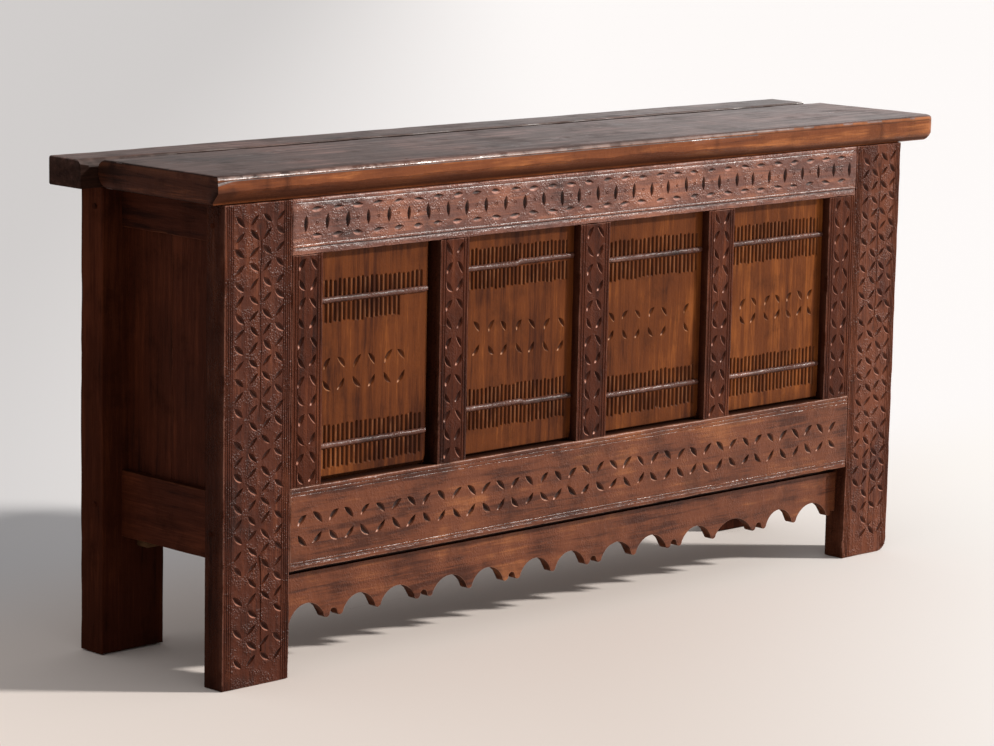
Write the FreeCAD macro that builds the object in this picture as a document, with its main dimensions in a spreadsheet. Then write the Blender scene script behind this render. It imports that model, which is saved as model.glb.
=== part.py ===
import FreeCAD, Part
import Sketcher
import os
import re

# A carved chest on four plank legs, used as a buffet.
# Millimetres, +Z up, X along the front from left to right, Y from the front to the back.
# The origin lies on the floor, under the middle of the whole chest.

# Driving sizes, one cell each in the sheet
sizes = {
    # legs
    "legs_length": 1790,
    "legs_depth": 400,
    "leg_height": 848,
    "front_left_leg_width": 153,
    "front_right_leg_width": 138,
    "rear_leg_width": 145,
    "front_leg_thickness": 50,
    "rear_leg_thickness": 64,
    # framed front, flush with the front legs inside and out
    "front_top_rail_height": 99,
    "front_bottom_rail_height": 149,
    "front_bottom_rail_foot": 191,
    "stile_width": 75,
    "stile_thickness": 44,
    "front_panel_recess": 18,
    "first_panel_shrinkage": 15,
    "bar_radius": 5,
    "bar_margin": 9,
    # scalloped apron under the bottom rail
    "apron_recess": 27,
    "apron_thickness": 20,
    "apron_housing": 18,
    "apron_end_margin": 18,
    "lobe_radius": 8,
    "lobe_foot": 88,
    "arch_rise": 33,
    "double_lobe_pitch": 32,
    "double_lobe_notch": 15,
    # framed ends
    "end_inset": 44,
    "end_frame_thickness": 36,
    "end_top_rail_height": 75,
    "end_bottom_rail_foot": 214,
    "end_bottom_rail_height": 121,
    "end_panel_recess": 16,
    # framed back
    "back_inset": 14,
    "back_top_rail_height": 75,
    "back_bottom_rail_height": 124,
    "muntin_width": 70,
    "muntin_thickness": 44,
    "back_panel_recess": 16,
    # panels and tenons
    "panel_thickness": 12,
    "panel_tongue": 10,
    "tenon_inset": 20,
    "tenon_gap": 7,
    "end_rail_front_tenon": 32,
    "end_rail_rear_tenon": 44,
    "stile_tenon": 26,
    "stile_tenon_inset": 13,
    "leg_top_tenon": 30,
    # floor
    "floor_above_foot": 45,
    "floor_thickness": 20,
    "floor_gap": 1,
    "bearer_height": 24,
    "bearer_depth": 30,
    # top
    "lid_thickness": 52,
    "lid_front_overhang": 8,
    "lid_left_overhang": 22,
    "lid_right_overhang": 99,
    "rear_board_depth": 91,
    "board_left_overhang": 58,
    "board_right_overhang": 68,
    "board_back_overhang": 13,
    "board_bevel": 12,
    "hinge_gap": 3,
    # iron staple and eye hinges
    "hinge_wire_radius": 3.5,
    "eye_bar_radius": 3.5,
    "eye_shank_radius": 3,
    "eye_shank_cover": 3.8,
    "staple_width": 26,
    "staple_prong_length": 45,
    "notch_play": 2,
    # pegs and nails
    "peg_radius": 5,
    "front_peg_cover": 14,
    "end_peg_reach": 8,
    "top_peg_cover": 26,
    "nail_radius": 2,
    "nail_head_radius": 5,
    "nail_head_thickness": 2,
    "bearer_nail_grip": 22,
    "floor_nail_cover": 6,
    # clearances
    "tenon_play": 0.2,
    "panel_play": 0.3,
    "panel_end_play": 1.2,
    "hole_play": 0.1,
    "hinge_play": 0.3,
    "seat_gap": 0.3,
}

# Shares chosen by eye: uneven stiles and panels, bar heights up each panel, arches along the apron
stile_width_shares = (0.947, 0.947, 1.067, 0.987, 1.053)
panel_width_shares = (1, 1.021, 0.975, 1.004)
bar_height_shares = ((0.154, 0.787), (0.218, 0.851), (0.181, 0.814), (0.178, 0.82))
arch_width_shares = (0.963, 0.932, 0.994, 1.014, 0.953, 0.953, 0.953, 0.984, 0.994, 1.004, 1.209,
                     0.932, 1.086)
end_board_share = 0.573
peg_height_shares = (0.36, 0.64)

# Counts; a double lobe follows each arch listed, the first arch being 0
double_lobes_after = (0, 2, 4, 6, 8, 10)
back_panel_count = 4
floor_board_count = 7

# Places worked out from the sheet
worked = {
    "left_x": "board_left_overhang - (board_left_overhang + legs_length + lid_right_overhang) / 2",
    "right_x": "left_x + legs_length",
    "front_y": "lid_front_overhang - (lid_front_overhang + legs_depth + board_back_overhang) / 2",
    "back_y": "front_y + legs_depth",
    "front_inside": "front_y + front_leg_thickness",
    "back_inside": "back_y - rear_leg_thickness",
    "front_left": "left_x + front_left_leg_width",
    "front_right": "right_x - front_right_leg_width",
    "front_low": "front_bottom_rail_foot + front_bottom_rail_height",
    "front_high": "leg_height - front_top_rail_height",
    "front_panel_face": "front_y + front_panel_recess",
    "front_panel_back": "front_panel_face + panel_thickness",
    "front_panel_width": f"(front_right - front_left - {sum(stile_width_shares)} * stile_width)"
                         f" / {sum(panel_width_shares)}",
    "apron_face": "front_y + apron_recess",
    "end_low": "end_bottom_rail_foot + end_bottom_rail_height",
    "end_high": "leg_height - end_top_rail_height",
    "end_peg_length": "end_inset + end_panel_recess + panel_thickness + end_peg_reach",
    "left_rail_tenon": "front_left_leg_width - end_peg_length - tenon_gap",
    "right_rail_tenon": "front_right_leg_width - end_peg_length - tenon_gap",
    "back_rail_tenon": "rear_leg_width - end_peg_length - tenon_gap",
    "end_seam": f"front_inside + {end_board_share} * (back_inside - front_inside)",
    "back_left": "left_x + rear_leg_width",
    "back_right": "right_x - rear_leg_width",
    "back_face": "back_y - back_inset",
    "back_bottom_rail_foot": "front_bottom_rail_foot",
    "back_low": "back_bottom_rail_foot + back_bottom_rail_height",
    "back_high": "leg_height - back_top_rail_height",
    "back_panel_face": "back_face - back_panel_recess",
    "back_panel_inside": "back_panel_face - panel_thickness",
    "back_panel_width": f"(back_right - back_left - {back_panel_count - 1} * muntin_width)"
                        f" / {back_panel_count}",
    "room_left": "left_x + end_inset + end_frame_thickness",
    "room_right": "right_x - end_inset - end_frame_thickness",
    "floor_top": "front_bottom_rail_foot + floor_above_foot",
    "bearer_top": "floor_top - floor_thickness",
    "floor_board_width": f"(room_right - room_left - {floor_board_count + 1} * floor_gap)"
                         f" / {floor_board_count}",
    "board_back": "back_y + board_back_overhang",
    "board_front": "board_back - rear_board_depth",
    "lid_low": "leg_height + seat_gap",
    "lid_rear": "board_front - hinge_gap",
    "lid_front": "front_y - lid_front_overhang",
    "lid_left": "left_x - lid_left_overhang",
    "lid_right": "right_x + lid_right_overhang",
    "hinge_y": "lid_rear - lid_thickness / 2",
    "hinge_z": "lid_low + lid_thickness / 2",
    "hinge_inset": "end_inset + end_frame_thickness / 2",
    "eye_shank_length": "end_top_rail_height - panel_tongue - panel_end_play - eye_shank_cover",
    "eye_ring_radius": "hinge_wire_radius + hinge_play + eye_bar_radius",
    "notch_width": "staple_width + 2 * (hinge_wire_radius + notch_play)",
    "notch_reach": "eye_ring_radius + eye_bar_radius + notch_play",
}

doc = FreeCAD.newDocument("carved_chest")
sheet = doc.addObject("Spreadsheet::Sheet", "Sizes")
for row, (alias, number) in enumerate(sizes.items(), start=1):
    sheet.set(f"A{row}", alias)
    sheet.set(f"B{row}", str(number))
    sheet.setAlias(f"B{row}", alias)
doc.recompute()

pieces = {}


def size(alias):
    return float(sheet.get(alias))


def spelled(text):
    """Writes a rule out until it holds only the sheet's own names."""
    def word(match):
        name = match.group(0)
        if name in worked:
            return "(" + spelled(worked[name]) + ")"
        return "Sizes." + name if name in sizes else name
    return re.sub(r"[a-z][a-z_]*", word, text)


def bind(thing, **rules):
    """Ties properties of a thing to rules in the sheet's names."""
    for name, rule in rules.items():
        thing.setExpression(name, spelled(rule))


def place(thing, x, y, z):
    thing.setExpression("Placement.Base.x", spelled(x))
    thing.setExpression("Placement.Base.y", spelled(y))
    thing.setExpression("Placement.Base.z", spelled(z))


def block(label, spans):
    """A squared timber between low and high values along X, Y and Z."""
    (x_low, x_high), (y_low, y_high), (z_low, z_high) = spans
    timber = doc.addObject("Part::Box", label)
    bind(timber, Length=f"({x_high}) - ({x_low})", Width=f"({y_high}) - ({y_low})",
         Height=f"({z_high}) - ({z_low})")
    place(timber, x_low, y_low, z_low)
    return timber


# Turns of a rod from upright to each direction
turns = {
    "+X": FreeCAD.Rotation(FreeCAD.Vector(0, 1, 0), 90),
    "-X": FreeCAD.Rotation(FreeCAD.Vector(0, 1, 0), -90),
    "+Y": FreeCAD.Rotation(FreeCAD.Vector(1, 0, 0), -90),
    "-Y": FreeCAD.Rotation(FreeCAD.Vector(1, 0, 0), 90),
    "+Z": FreeCAD.Rotation(),
    "-Z": FreeCAD.Rotation(FreeCAD.Vector(1, 0, 0), 180),
}


def rod(label, direction, start, length, radius):
    """A round bar from a start point along a direction."""
    bar = doc.addObject("Part::Cylinder", label)
    bar.Placement = FreeCAD.Placement(FreeCAD.Vector(), turns[direction])
    bind(bar, Radius=radius, Height=length)
    place(bar, *start)
    return bar


def ball(label, centre, radius):
    sphere = doc.addObject("Part::Sphere", label)
    bind(sphere, Radius=radius)
    place(sphere, *centre)
    return sphere


def joined(label, parts):
    whole = doc.addObject("Part::MultiFuse", label)
    whole.Shapes = parts
    whole.Refine = True
    return whole


def trimmed(label, stock, tools):
    """Stock with all the tools cut away."""
    cut = doc.addObject("Part::Cut", label)
    cut.Base = stock
    cut.Tool = tools[0] if len(tools) == 1 else joined(label + "_tools", tools)
    return cut


def grouped(label, parts):
    group = doc.addObject("Part::Compound", label)
    group.Links = parts
    return group


def grown(spans, play):
    """Spans opened by a play on every side."""
    return [(f"({low}) - {play}", f"({high}) + {play}") for low, high in spans]


def keep(label, thing):
    """Names a finished piece, which gets a file of its own."""
    thing.Label = label
    pieces[label] = thing


def made(label, solids, tools):
    """A finished piece: its timbers joined, then its mortises, grooves and holes cut."""
    stock = solids[0] if len(solids) == 1 else joined(label + "_stock", solids)
    keep(label, trimmed(label + "_cut", stock, tools) if tools else stock)


def across(side, near, far):
    """Span along X between two distances in from the outer face of one end's legs."""
    if side == "left":
        return (f"left_x + {near}", f"left_x + {far}")
    return (f"right_x - ({far})", f"right_x - ({near})")


# What is cut from each piece, filled in by the joints below
cuts = {}


def cut_from(label, tool):
    cuts.setdefault(label, []).append(tool)


def mortise(label, name, spans):
    cut_from(label, block(f"{label}_{name}", grown(spans, "tenon_play")))


# Heights of the rails, the same for the left and right ends
rail_heights = {
    "front_top_rail": ("front_high", "leg_height"),
    "front_bottom_rail": ("front_bottom_rail_foot", "front_low"),
    "back_top_rail": ("back_high", "leg_height"),
    "back_bottom_rail": ("back_bottom_rail_foot", "back_low"),
    "end_top_rail": ("end_high", "leg_height"),
    "end_bottom_rail": ("end_bottom_rail_foot", "end_low"),
}


def tenon_height(rail):
    low, high = rail_heights[rail]
    return (f"{low} + tenon_inset", f"{high} - tenon_inset")


def long_rail(rail, left_leg, right_leg, left, right, face, tenon_y, left_length, right_length):
    """A rail along X with a tenon at each end, and the mortises that take them."""
    heights = tenon_height(rail)
    left_tenon = [(f"{left} - {left_length}", left), tenon_y, heights]
    right_tenon = [(right, f"{right} + {right_length}"), tenon_y, heights]
    mortise(left_leg, rail, left_tenon)
    mortise(right_leg, rail, right_tenon)
    return [
        block(rail + "_body", [(left, right), face, rail_heights[rail]]),
        block(rail + "_left_tenon", left_tenon),
        block(rail + "_right_tenon", right_tenon),
    ]


# Long rails, with tenons in line with the panels
front_face = ("front_y", "front_inside")
front_tenon_y = ("front_panel_face", "front_panel_back")
back_face = ("back_inside", "back_face")
back_tenon_y = ("back_panel_inside", "back_panel_face")
rails = {}
for rail in ("front_top_rail", "front_bottom_rail"):
    rails[rail] = long_rail(rail, "front_left_leg", "front_right_leg", "front_left", "front_right",
                            front_face, front_tenon_y, "left_rail_tenon", "right_rail_tenon")
for rail in ("back_top_rail", "back_bottom_rail"):
    rails[rail] = long_rail(rail, "rear_left_leg", "rear_right_leg", "back_left", "back_right",
                            back_face, back_tenon_y, "back_rail_tenon", "back_rail_tenon")

# Tenons of the end rails, along Y
for side in ("left", "right"):
    frame_x = across(side, "end_inset", "end_inset + end_frame_thickness")
    tenon_x = across(side, "end_inset + end_panel_recess", "end_inset + end_panel_recess + panel_thickness")
    for level in ("end_top_rail", "end_bottom_rail"):
        rail = f"{side}_{level}"
        heights = tenon_height(level)
        front_tenon = [tenon_x, ("front_inside - end_rail_front_tenon", "front_inside"), heights]
        rear_tenon = [tenon_x, ("back_inside", "back_inside + end_rail_rear_tenon"), heights]
        mortise(f"front_{side}_leg", rail, front_tenon)
        mortise(f"rear_{side}_leg", rail, rear_tenon)
        rails[rail] = [
            block(rail + "_body", [frame_x, ("front_inside", "back_inside"), rail_heights[level]]),
            block(rail + "_front_tenon", front_tenon),
            block(rail + "_rear_tenon", rear_tenon),
        ]

# Stiles and muntins stand between the rails, with stub tenons as thick as the panels
uprights = {}


def upright(name, left, width, face, tenon_y, low_rail, high_rail, low, high):
    """A stile or muntin, and the mortises for it in the rails below and above."""
    x_span = (left, f"{left} + {width}")
    tenon_x = (f"{left} + stile_tenon_inset", f"{left} + {width} - stile_tenon_inset")
    low_tenon = [tenon_x, tenon_y, (f"{low} - stile_tenon", low)]
    high_tenon = [tenon_x, tenon_y, (high, f"{high} + stile_tenon")]
    mortise(low_rail, name, low_tenon)
    mortise(high_rail, name, high_tenon)
    uprights[name] = [
        block(name + "_body", [x_span, face, (low, high)]),
        block(name + "_low_tenon", low_tenon),
        block(name + "_high_tenon", high_tenon),
    ]


front_groove_y = ("front_panel_face - panel_play", "front_panel_back + panel_play")
back_groove_y = ("back_panel_inside - panel_play", "back_panel_face + panel_play")
groove_depth = "(panel_tongue + panel_end_play)"


def groove(label, name, spans):
    cut_from(label, block(f"{label}_{name}", spans))


def stile_edges(number):
    """Left and right edges of a front stile, counted from 0 at the left."""
    passed = f"{sum(stile_width_shares[:number])} * stile_width"
    left = f"front_left + {passed} + {sum(panel_width_shares[:number])} * front_panel_width"
    return left, f"{left} + {stile_width_shares[number]} * stile_width"


for number, share in enumerate(stile_width_shares):
    name = f"front_stile_{number + 1}"
    left, right = stile_edges(number)
    upright(name, left, f"{share} * stile_width", ("front_y", "front_y + stile_thickness"), front_tenon_y,
            "front_bottom_rail", "front_top_rail", "front_low", "front_high")
    if number > 0:
        groove(name, "left_groove", [(left, f"{left} + {groove_depth}"), front_groove_y,
                                     ("front_low", "front_high")])
    if number < len(panel_width_shares):
        groove(name, "right_groove", [(f"{right} - {groove_depth}", right), front_groove_y,
                                      ("front_low", "front_high")])

for number in range(back_panel_count - 1):
    name = f"back_muntin_{number + 1}"
    left = f"back_left + {number + 1} * back_panel_width + {number} * muntin_width"
    right = f"{left} + muntin_width"
    upright(name, left, "muntin_width", ("back_face - muntin_thickness", "back_face"), back_tenon_y,
            "back_bottom_rail", "back_top_rail", "back_low", "back_high")
    groove(name, "left_groove", [(left, f"{left} + {groove_depth}"), back_groove_y,
                                 ("back_low", "back_high")])
    groove(name, "right_groove", [(f"{right} - {groove_depth}", right), back_groove_y,
                                  ("back_low", "back_high")])

# Panel grooves along the rails and, at the back and ends, up the legs
front_run = (f"{stile_edges(0)[1]} - {groove_depth}",
             f"{stile_edges(len(panel_width_shares))[0]} + {groove_depth}")
back_run = (f"back_low - {groove_depth}", f"back_high + {groove_depth}")
end_run = (f"end_low - {groove_depth}", f"end_high + {groove_depth}")
groove("front_top_rail", "groove", [front_run, front_groove_y,
                                    ("front_high", f"front_high + {groove_depth}")])
groove("front_bottom_rail", "groove", [front_run, front_groove_y,
                                       (f"front_low - {groove_depth}", "front_low")])
groove("back_top_rail", "groove", [("back_left", "back_right"), back_groove_y,
                                   ("back_high", f"back_high + {groove_depth}")])
groove("back_bottom_rail", "groove", [("back_left", "back_right"), back_groove_y,
                                      (f"back_low - {groove_depth}", "back_low")])
groove("rear_left_leg", "back_groove", [(f"back_left - {groove_depth}", "back_left"), back_groove_y,
                                        back_run])
groove("rear_right_leg", "back_groove", [("back_right", f"back_right + {groove_depth}"), back_groove_y,
                                         back_run])
for side in ("left", "right"):
    groove_x = across(side, "end_inset + end_panel_recess - panel_play",
                      "end_inset + end_panel_recess + panel_thickness + panel_play")
    clear_y = ("front_inside", "back_inside")
    groove(f"{side}_end_top_rail", "groove", [groove_x, clear_y,
                                              ("end_high", f"end_high + {groove_depth}")])
    groove(f"{side}_end_bottom_rail", "groove", [groove_x, clear_y,
                                                 (f"end_low - {groove_depth}", "end_low")])
    groove(f"front_{side}_leg", "end_groove", [groove_x, (f"front_inside - {groove_depth}", "front_inside"),
                                               end_run])
    groove(f"rear_{side}_leg", "end_groove", [groove_x, ("back_inside", f"back_inside + {groove_depth}"),
                                              end_run])

# Front panels, each worked from one board with two half-round bars
for number, shares in enumerate(bar_height_shares):
    name = f"front_panel_{number + 1}"
    left = stile_edges(number)[1]
    right = stile_edges(number + 1)[0]
    right_edge = f"{right} + panel_tongue"
    bar_end = right
    if number == 0:
        right_edge = f"{right} - first_panel_shrinkage"
        bar_end = right_edge
    solids = [block(name + "_board", [(f"{left} - panel_tongue", right_edge),
                                      ("front_panel_face", "front_panel_back"),
                                      ("front_low - panel_tongue", "front_high + panel_tongue")])]
    for rank, share in enumerate(shares):
        start = (f"{left} + bar_margin", "front_panel_face",
                 f"front_low + {share} * (front_high - front_low)")
        solids.append(rod(f"{name}_bar_{rank + 1}", "+X", start,
                          f"({bar_end}) - ({left}) - 2 * bar_margin", "bar_radius"))
    made(name, solids, [])

# Back panels, plain boards
for number in range(back_panel_count):
    left = f"back_left + {number} * (back_panel_width + muntin_width)"
    keep(f"back_panel_{number + 1}",
         block(f"back_panel_{number + 1}_board", [(f"{left} - panel_tongue",
                                                   f"{left} + back_panel_width + panel_tongue"),
                                                  ("back_panel_inside", "back_panel_face"),
                                                  ("back_low - panel_tongue", "back_high + panel_tongue")]))

# End panels, two upright boards meeting at a seam
for side in ("left", "right"):
    board_x = across(side, "end_inset + end_panel_recess", "end_inset + end_panel_recess + panel_thickness")
    board_z = ("end_low - panel_tongue", "end_high + panel_tongue")
    for place_name, board_y in (("front", ("front_inside - panel_tongue", "end_seam")),
                                ("rear", ("end_seam", "back_inside + panel_tongue"))):
        name = f"{side}_end_panel_{place_name}"
        keep(name, block(name + "_board", [board_x, board_y, board_z]))

# Pegs through the frame tenons, driven from the inside at the front and from outside elsewhere
pegs = {"front_frame_pegs": [], "back_frame_pegs": [], "end_frame_pegs": [], "top_board_pegs": []}


def peg(group, direction, start, length, holed):
    """One peg, and its hole in every piece that it passes through."""
    name = f"{group}_{len(pegs[group]) + 1}"
    pegs[group].append(rod(name, direction, start, length, "peg_radius"))
    for label in holed:
        cut_from(label, rod(f"{name}_hole_in_{label}", direction, start, length, "peg_radius + hole_play"))


def spread(rail):
    """Heights of the two pegs in a rail's tenon."""
    low, high = rail_heights[rail]
    return [f"({low}) + {share} * (({high}) - ({low}))" for share in peg_height_shares]


for rail in ("front_top_rail", "front_bottom_rail"):
    for height in spread(rail):
        for leg, x in (("front_left_leg", "front_left - left_rail_tenon / 2"),
                       ("front_right_leg", "front_right + right_rail_tenon / 2")):
            peg("front_frame_pegs", "-Y", (x, "front_inside", height),
                "front_leg_thickness - front_peg_cover", (leg, rail))
for rail in ("back_top_rail", "back_bottom_rail"):
    for height in spread(rail):
        for leg, x in (("rear_left_leg", "back_left - back_rail_tenon / 2"),
                       ("rear_right_leg", "back_right + back_rail_tenon / 2")):
            peg("back_frame_pegs", "-Y", (x, "back_y", height), "back_y - back_inside", (leg, rail))
for side, x, direction in (("left", "left_x", "+X"), ("right", "right_x", "-X")):
    for level in ("end_top_rail", "end_bottom_rail"):
        low, high = rail_heights[level]
        height = f"(({low}) + ({high})) / 2"
        peg("end_frame_pegs", direction, (x, "front_inside - end_rail_front_tenon / 2", height),
            "end_peg_length", (f"front_{side}_leg", f"{side}_{level}"))
        peg("end_frame_pegs", direction, (x, "back_inside + end_rail_rear_tenon / 2", height),
            "end_peg_length", (f"rear_{side}_leg", f"{side}_{level}"))

# Rear legs rise into the fixed rear board with stub tenons, pegged from behind
leg_top_tenons = {}
for side, left in (("left", "left_x"), ("right", "back_right")):
    tenon = [(f"{left} + tenon_inset", f"{left} + rear_leg_width - tenon_inset"),
             ("back_inside + tenon_inset", "back_y - tenon_inset"),
             ("leg_height", "leg_height + leg_top_tenon")]
    leg_top_tenons[side] = block(f"rear_{side}_leg_top_tenon", tenon)
    mortise("rear_top_board", f"{side}_leg", tenon)
    start = (f"{left} + rear_leg_width / 2", "board_back", "leg_height + leg_top_tenon / 2")
    peg("top_board_pegs", "-Y", start, "rear_board_depth - top_peg_cover",
        (f"rear_{side}_leg", "rear_top_board"))

for group, rods in pegs.items():
    keep(group, grouped(group + "_set", rods))

# Floor: two bearers nailed to the rails, with short boards nailed down across them
nails = {"bearer_nails": [], "floor_nails": []}


def nail(group, direction, start, length, holed):
    """A forged nail with a round head that stands on the surface at its start point."""
    name = f"{group}_{len(nails[group]) + 1}"
    backwards = {"+Y": "-Y", "-Y": "+Y", "-Z": "+Z"}[direction]
    shank = rod(name + "_shank", direction, start, length, "nail_radius")
    head = rod(name + "_head", backwards, start, "nail_head_thickness", "nail_head_radius")
    nails[group].append(joined(name, [shank, head]))
    for label in holed:
        cut_from(label, rod(f"{name}_hole_in_{label}", direction, start, length, "nail_radius + hole_play"))


bearers = {}
for name, bearer_y in (("front_floor_bearer", ("front_inside", "front_inside + bearer_depth")),
                       ("back_floor_bearer", ("back_inside - bearer_depth", "back_inside"))):
    bearers[name] = [block(name + "_bar", [("room_left", "room_right"), bearer_y,
                                           ("bearer_top - bearer_height", "bearer_top")])]
nail_z = "bearer_top - bearer_height / 2"
bearer_nail_length = "bearer_depth + bearer_nail_grip"
floor_nail_length = "floor_thickness + bearer_height - floor_nail_cover"
for number in range(1, floor_board_count):
    seam = f"room_left + floor_gap / 2 + {number} * (floor_board_width + floor_gap)"
    nail("bearer_nails", "-Y", (seam, "front_inside + bearer_depth", nail_z), bearer_nail_length,
         ("front_floor_bearer", "front_bottom_rail"))
    nail("bearer_nails", "+Y", (seam, "back_inside - bearer_depth", nail_z), bearer_nail_length,
         ("back_floor_bearer", "back_bottom_rail"))

floor_boards = {}
for number in range(floor_board_count):
    name = f"floor_board_{number + 1}"
    left = f"room_left + floor_gap + {number} * (floor_board_width + floor_gap)"
    floor_boards[name] = [block(name + "_board", [(left, f"{left} + floor_board_width"),
                                                  ("front_inside + panel_play", "back_inside - panel_play"),
                                                  ("bearer_top", "floor_top")])]
    middle = f"{left} + floor_board_width / 2"
    nail("floor_nails", "-Z", (middle, "front_inside + bearer_depth / 2", "floor_top"), floor_nail_length,
         (name, "front_floor_bearer"))
    nail("floor_nails", "-Z", (middle, "back_inside - bearer_depth / 2", "floor_top"), floor_nail_length,
         (name, "back_floor_bearer"))
for group, solids in nails.items():
    keep(group, grouped(group + "_set", solids))

# Hinges: an eye driven into each end top rail holds a staple driven into the lid
shank_top = "hinge_z - eye_ring_radius"
shank_length = "lid_thickness / 2 - eye_ring_radius + seat_gap + eye_shank_length"
for side, eye_x in (("left", "left_x + hinge_inset"), ("right", "right_x - hinge_inset")):
    ring = doc.addObject("Part::Torus", f"hinge_eye_{side}_ring")
    ring.Placement = FreeCAD.Placement(FreeCAD.Vector(), turns["+X"])
    bind(ring, Radius1="eye_ring_radius", Radius2="eye_bar_radius")
    place(ring, eye_x, "hinge_y", "hinge_z")
    shank = rod(f"hinge_eye_{side}_shank", "-Z", (eye_x, "hinge_y", shank_top), shank_length,
                "eye_shank_radius")
    keep(f"hinge_eye_{side}", joined(f"hinge_eye_{side}_whole", [ring, shank]))
    cut_from(f"{side}_end_top_rail", rod(f"hinge_eye_{side}_hole", "-Z", (eye_x, "hinge_y", "leg_height"),
                                         "eye_shank_length", "eye_shank_radius + hole_play"))
    crown_left = f"{eye_x} - staple_width / 2"
    crown_right = f"{eye_x} + staple_width / 2"
    staple = [rod(f"hinge_staple_{side}_crown", "+X", (crown_left, "hinge_y", "hinge_z"), "staple_width",
                  "hinge_wire_radius")]
    for edge, x in (("low", crown_left), ("high", crown_right)):
        corner = (x, "hinge_y", "hinge_z")
        staple.append(ball(f"hinge_staple_{side}_{edge}_bend", corner, "hinge_wire_radius"))
        staple.append(rod(f"hinge_staple_{side}_{edge}_prong", "-Y", corner, "staple_prong_length",
                          "hinge_wire_radius"))
        cut_from("lid_board", rod(f"hinge_staple_{side}_{edge}_hole", "-Y", corner, "staple_prong_length",
                                  "hinge_wire_radius + hole_play"))
    keep(f"hinge_staple_{side}", joined(f"hinge_staple_{side}_whole", staple))
    cut_from("lid_board", block(f"lid_notch_{side}", [
        (f"{eye_x} - notch_width / 2", f"{eye_x} + notch_width / 2"),
        ("hinge_y - notch_reach", "lid_rear + notch_reach"),
        ("lid_low - notch_reach", "hinge_z + notch_reach")]))

# Lid: one thick plank whose rear edge is rounded about the hinge line
lid_solids = [block("lid_plank", [("lid_left", "lid_right"), ("lid_front", "hinge_y"),
                                  ("lid_low", "lid_low + lid_thickness")]),
              rod("lid_round_edge", "+X", ("lid_left", "hinge_y", "hinge_z"), "lid_right - lid_left",
                  "lid_thickness / 2")]

# Rear board: its section drawn and padded, with a bevel that the open lid leans on
body = doc.addObject("PartDesign::Body", "rear_top_board_body")
sketch = body.newObject("Sketcher::SketchObject", "rear_top_board_section")
side_plane = [feature for feature in body.Origin.OriginFeatures if feature.Role == "YZ_Plane"][0]
sketch.AttachmentSupport = [(side_plane, "")]
sketch.MapMode = "FlatFace"
board_thickness = "lid_thickness + seat_gap"
corners = [("0", "0"), ("rear_board_depth", "0"), ("rear_board_depth", board_thickness),
           ("board_bevel", board_thickness), ("0", f"{board_thickness} - board_bevel")]
depth = size("rear_board_depth")
height = size("lid_thickness") + size("seat_gap")
bevel = size("board_bevel")
drawn = [(0, 0), (depth, 0), (depth, height), (bevel, height), (0, height - bevel)]
for index, point in enumerate(drawn):
    following = drawn[(index + 1) % len(drawn)]
    sketch.addGeometry(Part.LineSegment(FreeCAD.Vector(*point, 0), FreeCAD.Vector(*following, 0)))
for index in range(len(drawn)):
    sketch.addConstraint(Sketcher.Constraint("Coincident", index, 2, (index + 1) % len(drawn), 1))
for index, (along, up) in enumerate(corners):
    for kind, rule, start in (("DistanceX", along, drawn[index][0]), ("DistanceY", up, drawn[index][1])):
        number = sketch.addConstraint(Sketcher.Constraint(kind, -1, 1, index, 1, start))
        sketch.setExpression(f"Constraints[{number}]", spelled(rule))
pad = body.newObject("PartDesign::Pad", "rear_top_board_pad")
pad.Profile = sketch
bind(pad, Length="board_left_overhang + legs_length + board_right_overhang")
place(body, "left_x - board_left_overhang", "board_front", "leg_height")


# Apron: a board whose lower edge runs in arches between round lobes, single and double by turns
def apron_outline():
    """Edges of the apron's face, from its lower left corner."""
    clear = size("legs_length") - size("front_left_leg_width") - size("front_right_leg_width")
    run = clear - 2 * size("apron_end_margin") - len(double_lobes_after) * size("double_lobe_pitch")
    unit = run / sum(arch_width_shares)
    lobe = size("lobe_radius")
    level = size("lobe_foot") + lobe
    top = size("front_bottom_rail_foot")

    def point(x, z):
        return FreeCAD.Vector(x, 0, z)

    def bow(start, crown, end):
        return Part.Arc(start, crown, end).toShape()

    def tip(x):
        return bow(point(x - lobe, level), point(x, level - lobe), point(x + lobe, level))

    x = size("apron_end_margin")
    edges = [Part.makeLine(point(-size("apron_housing"), level), point(x - lobe, level)), tip(x)]
    for number, share in enumerate(arch_width_shares):
        far = x + share * unit
        crown = level - lobe + size("arch_rise")
        edges.append(bow(point(x + lobe, level), point((x + far) / 2, crown), point(far - lobe, level)))
        edges.append(tip(far))
        x = far
        if number in double_lobes_after:
            far = x + size("double_lobe_pitch")
            notch = level - lobe + size("double_lobe_notch")
            edges.append(bow(point(x + lobe, level), point((x + far) / 2, notch), point(far - lobe, level)))
            edges.append(tip(far))
            x = far
    right = clear + size("apron_housing")
    edges.append(Part.makeLine(point(x + lobe, level), point(right, level)))
    edges.append(Part.makeLine(point(right, level), point(right, top)))
    edges.append(Part.makeLine(point(right, top), point(-size("apron_housing"), top)))
    edges.append(Part.makeLine(point(-size("apron_housing"), top), point(-size("apron_housing"), level)))
    return edges


apron = doc.addObject("Part::Feature", "front_apron_board")
apron_face = Part.Face(Part.Wire(Part.__sortEdges__(apron_outline())))
apron.Shape = apron_face.extrude(FreeCAD.Vector(0, size("apron_thickness"), 0))
place(apron, "front_left", "apron_face", "0")
keep("front_apron", apron)
apron_y = ("apron_face", "apron_face + apron_thickness")
apron_z = ("lobe_foot + lobe_radius", "front_bottom_rail_foot")
mortise("front_left_leg", "apron", [("front_left - apron_housing", "front_left"), apron_y, apron_z])
mortise("front_right_leg", "apron", [("front_right", "front_right + apron_housing"), apron_y, apron_z])

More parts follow.
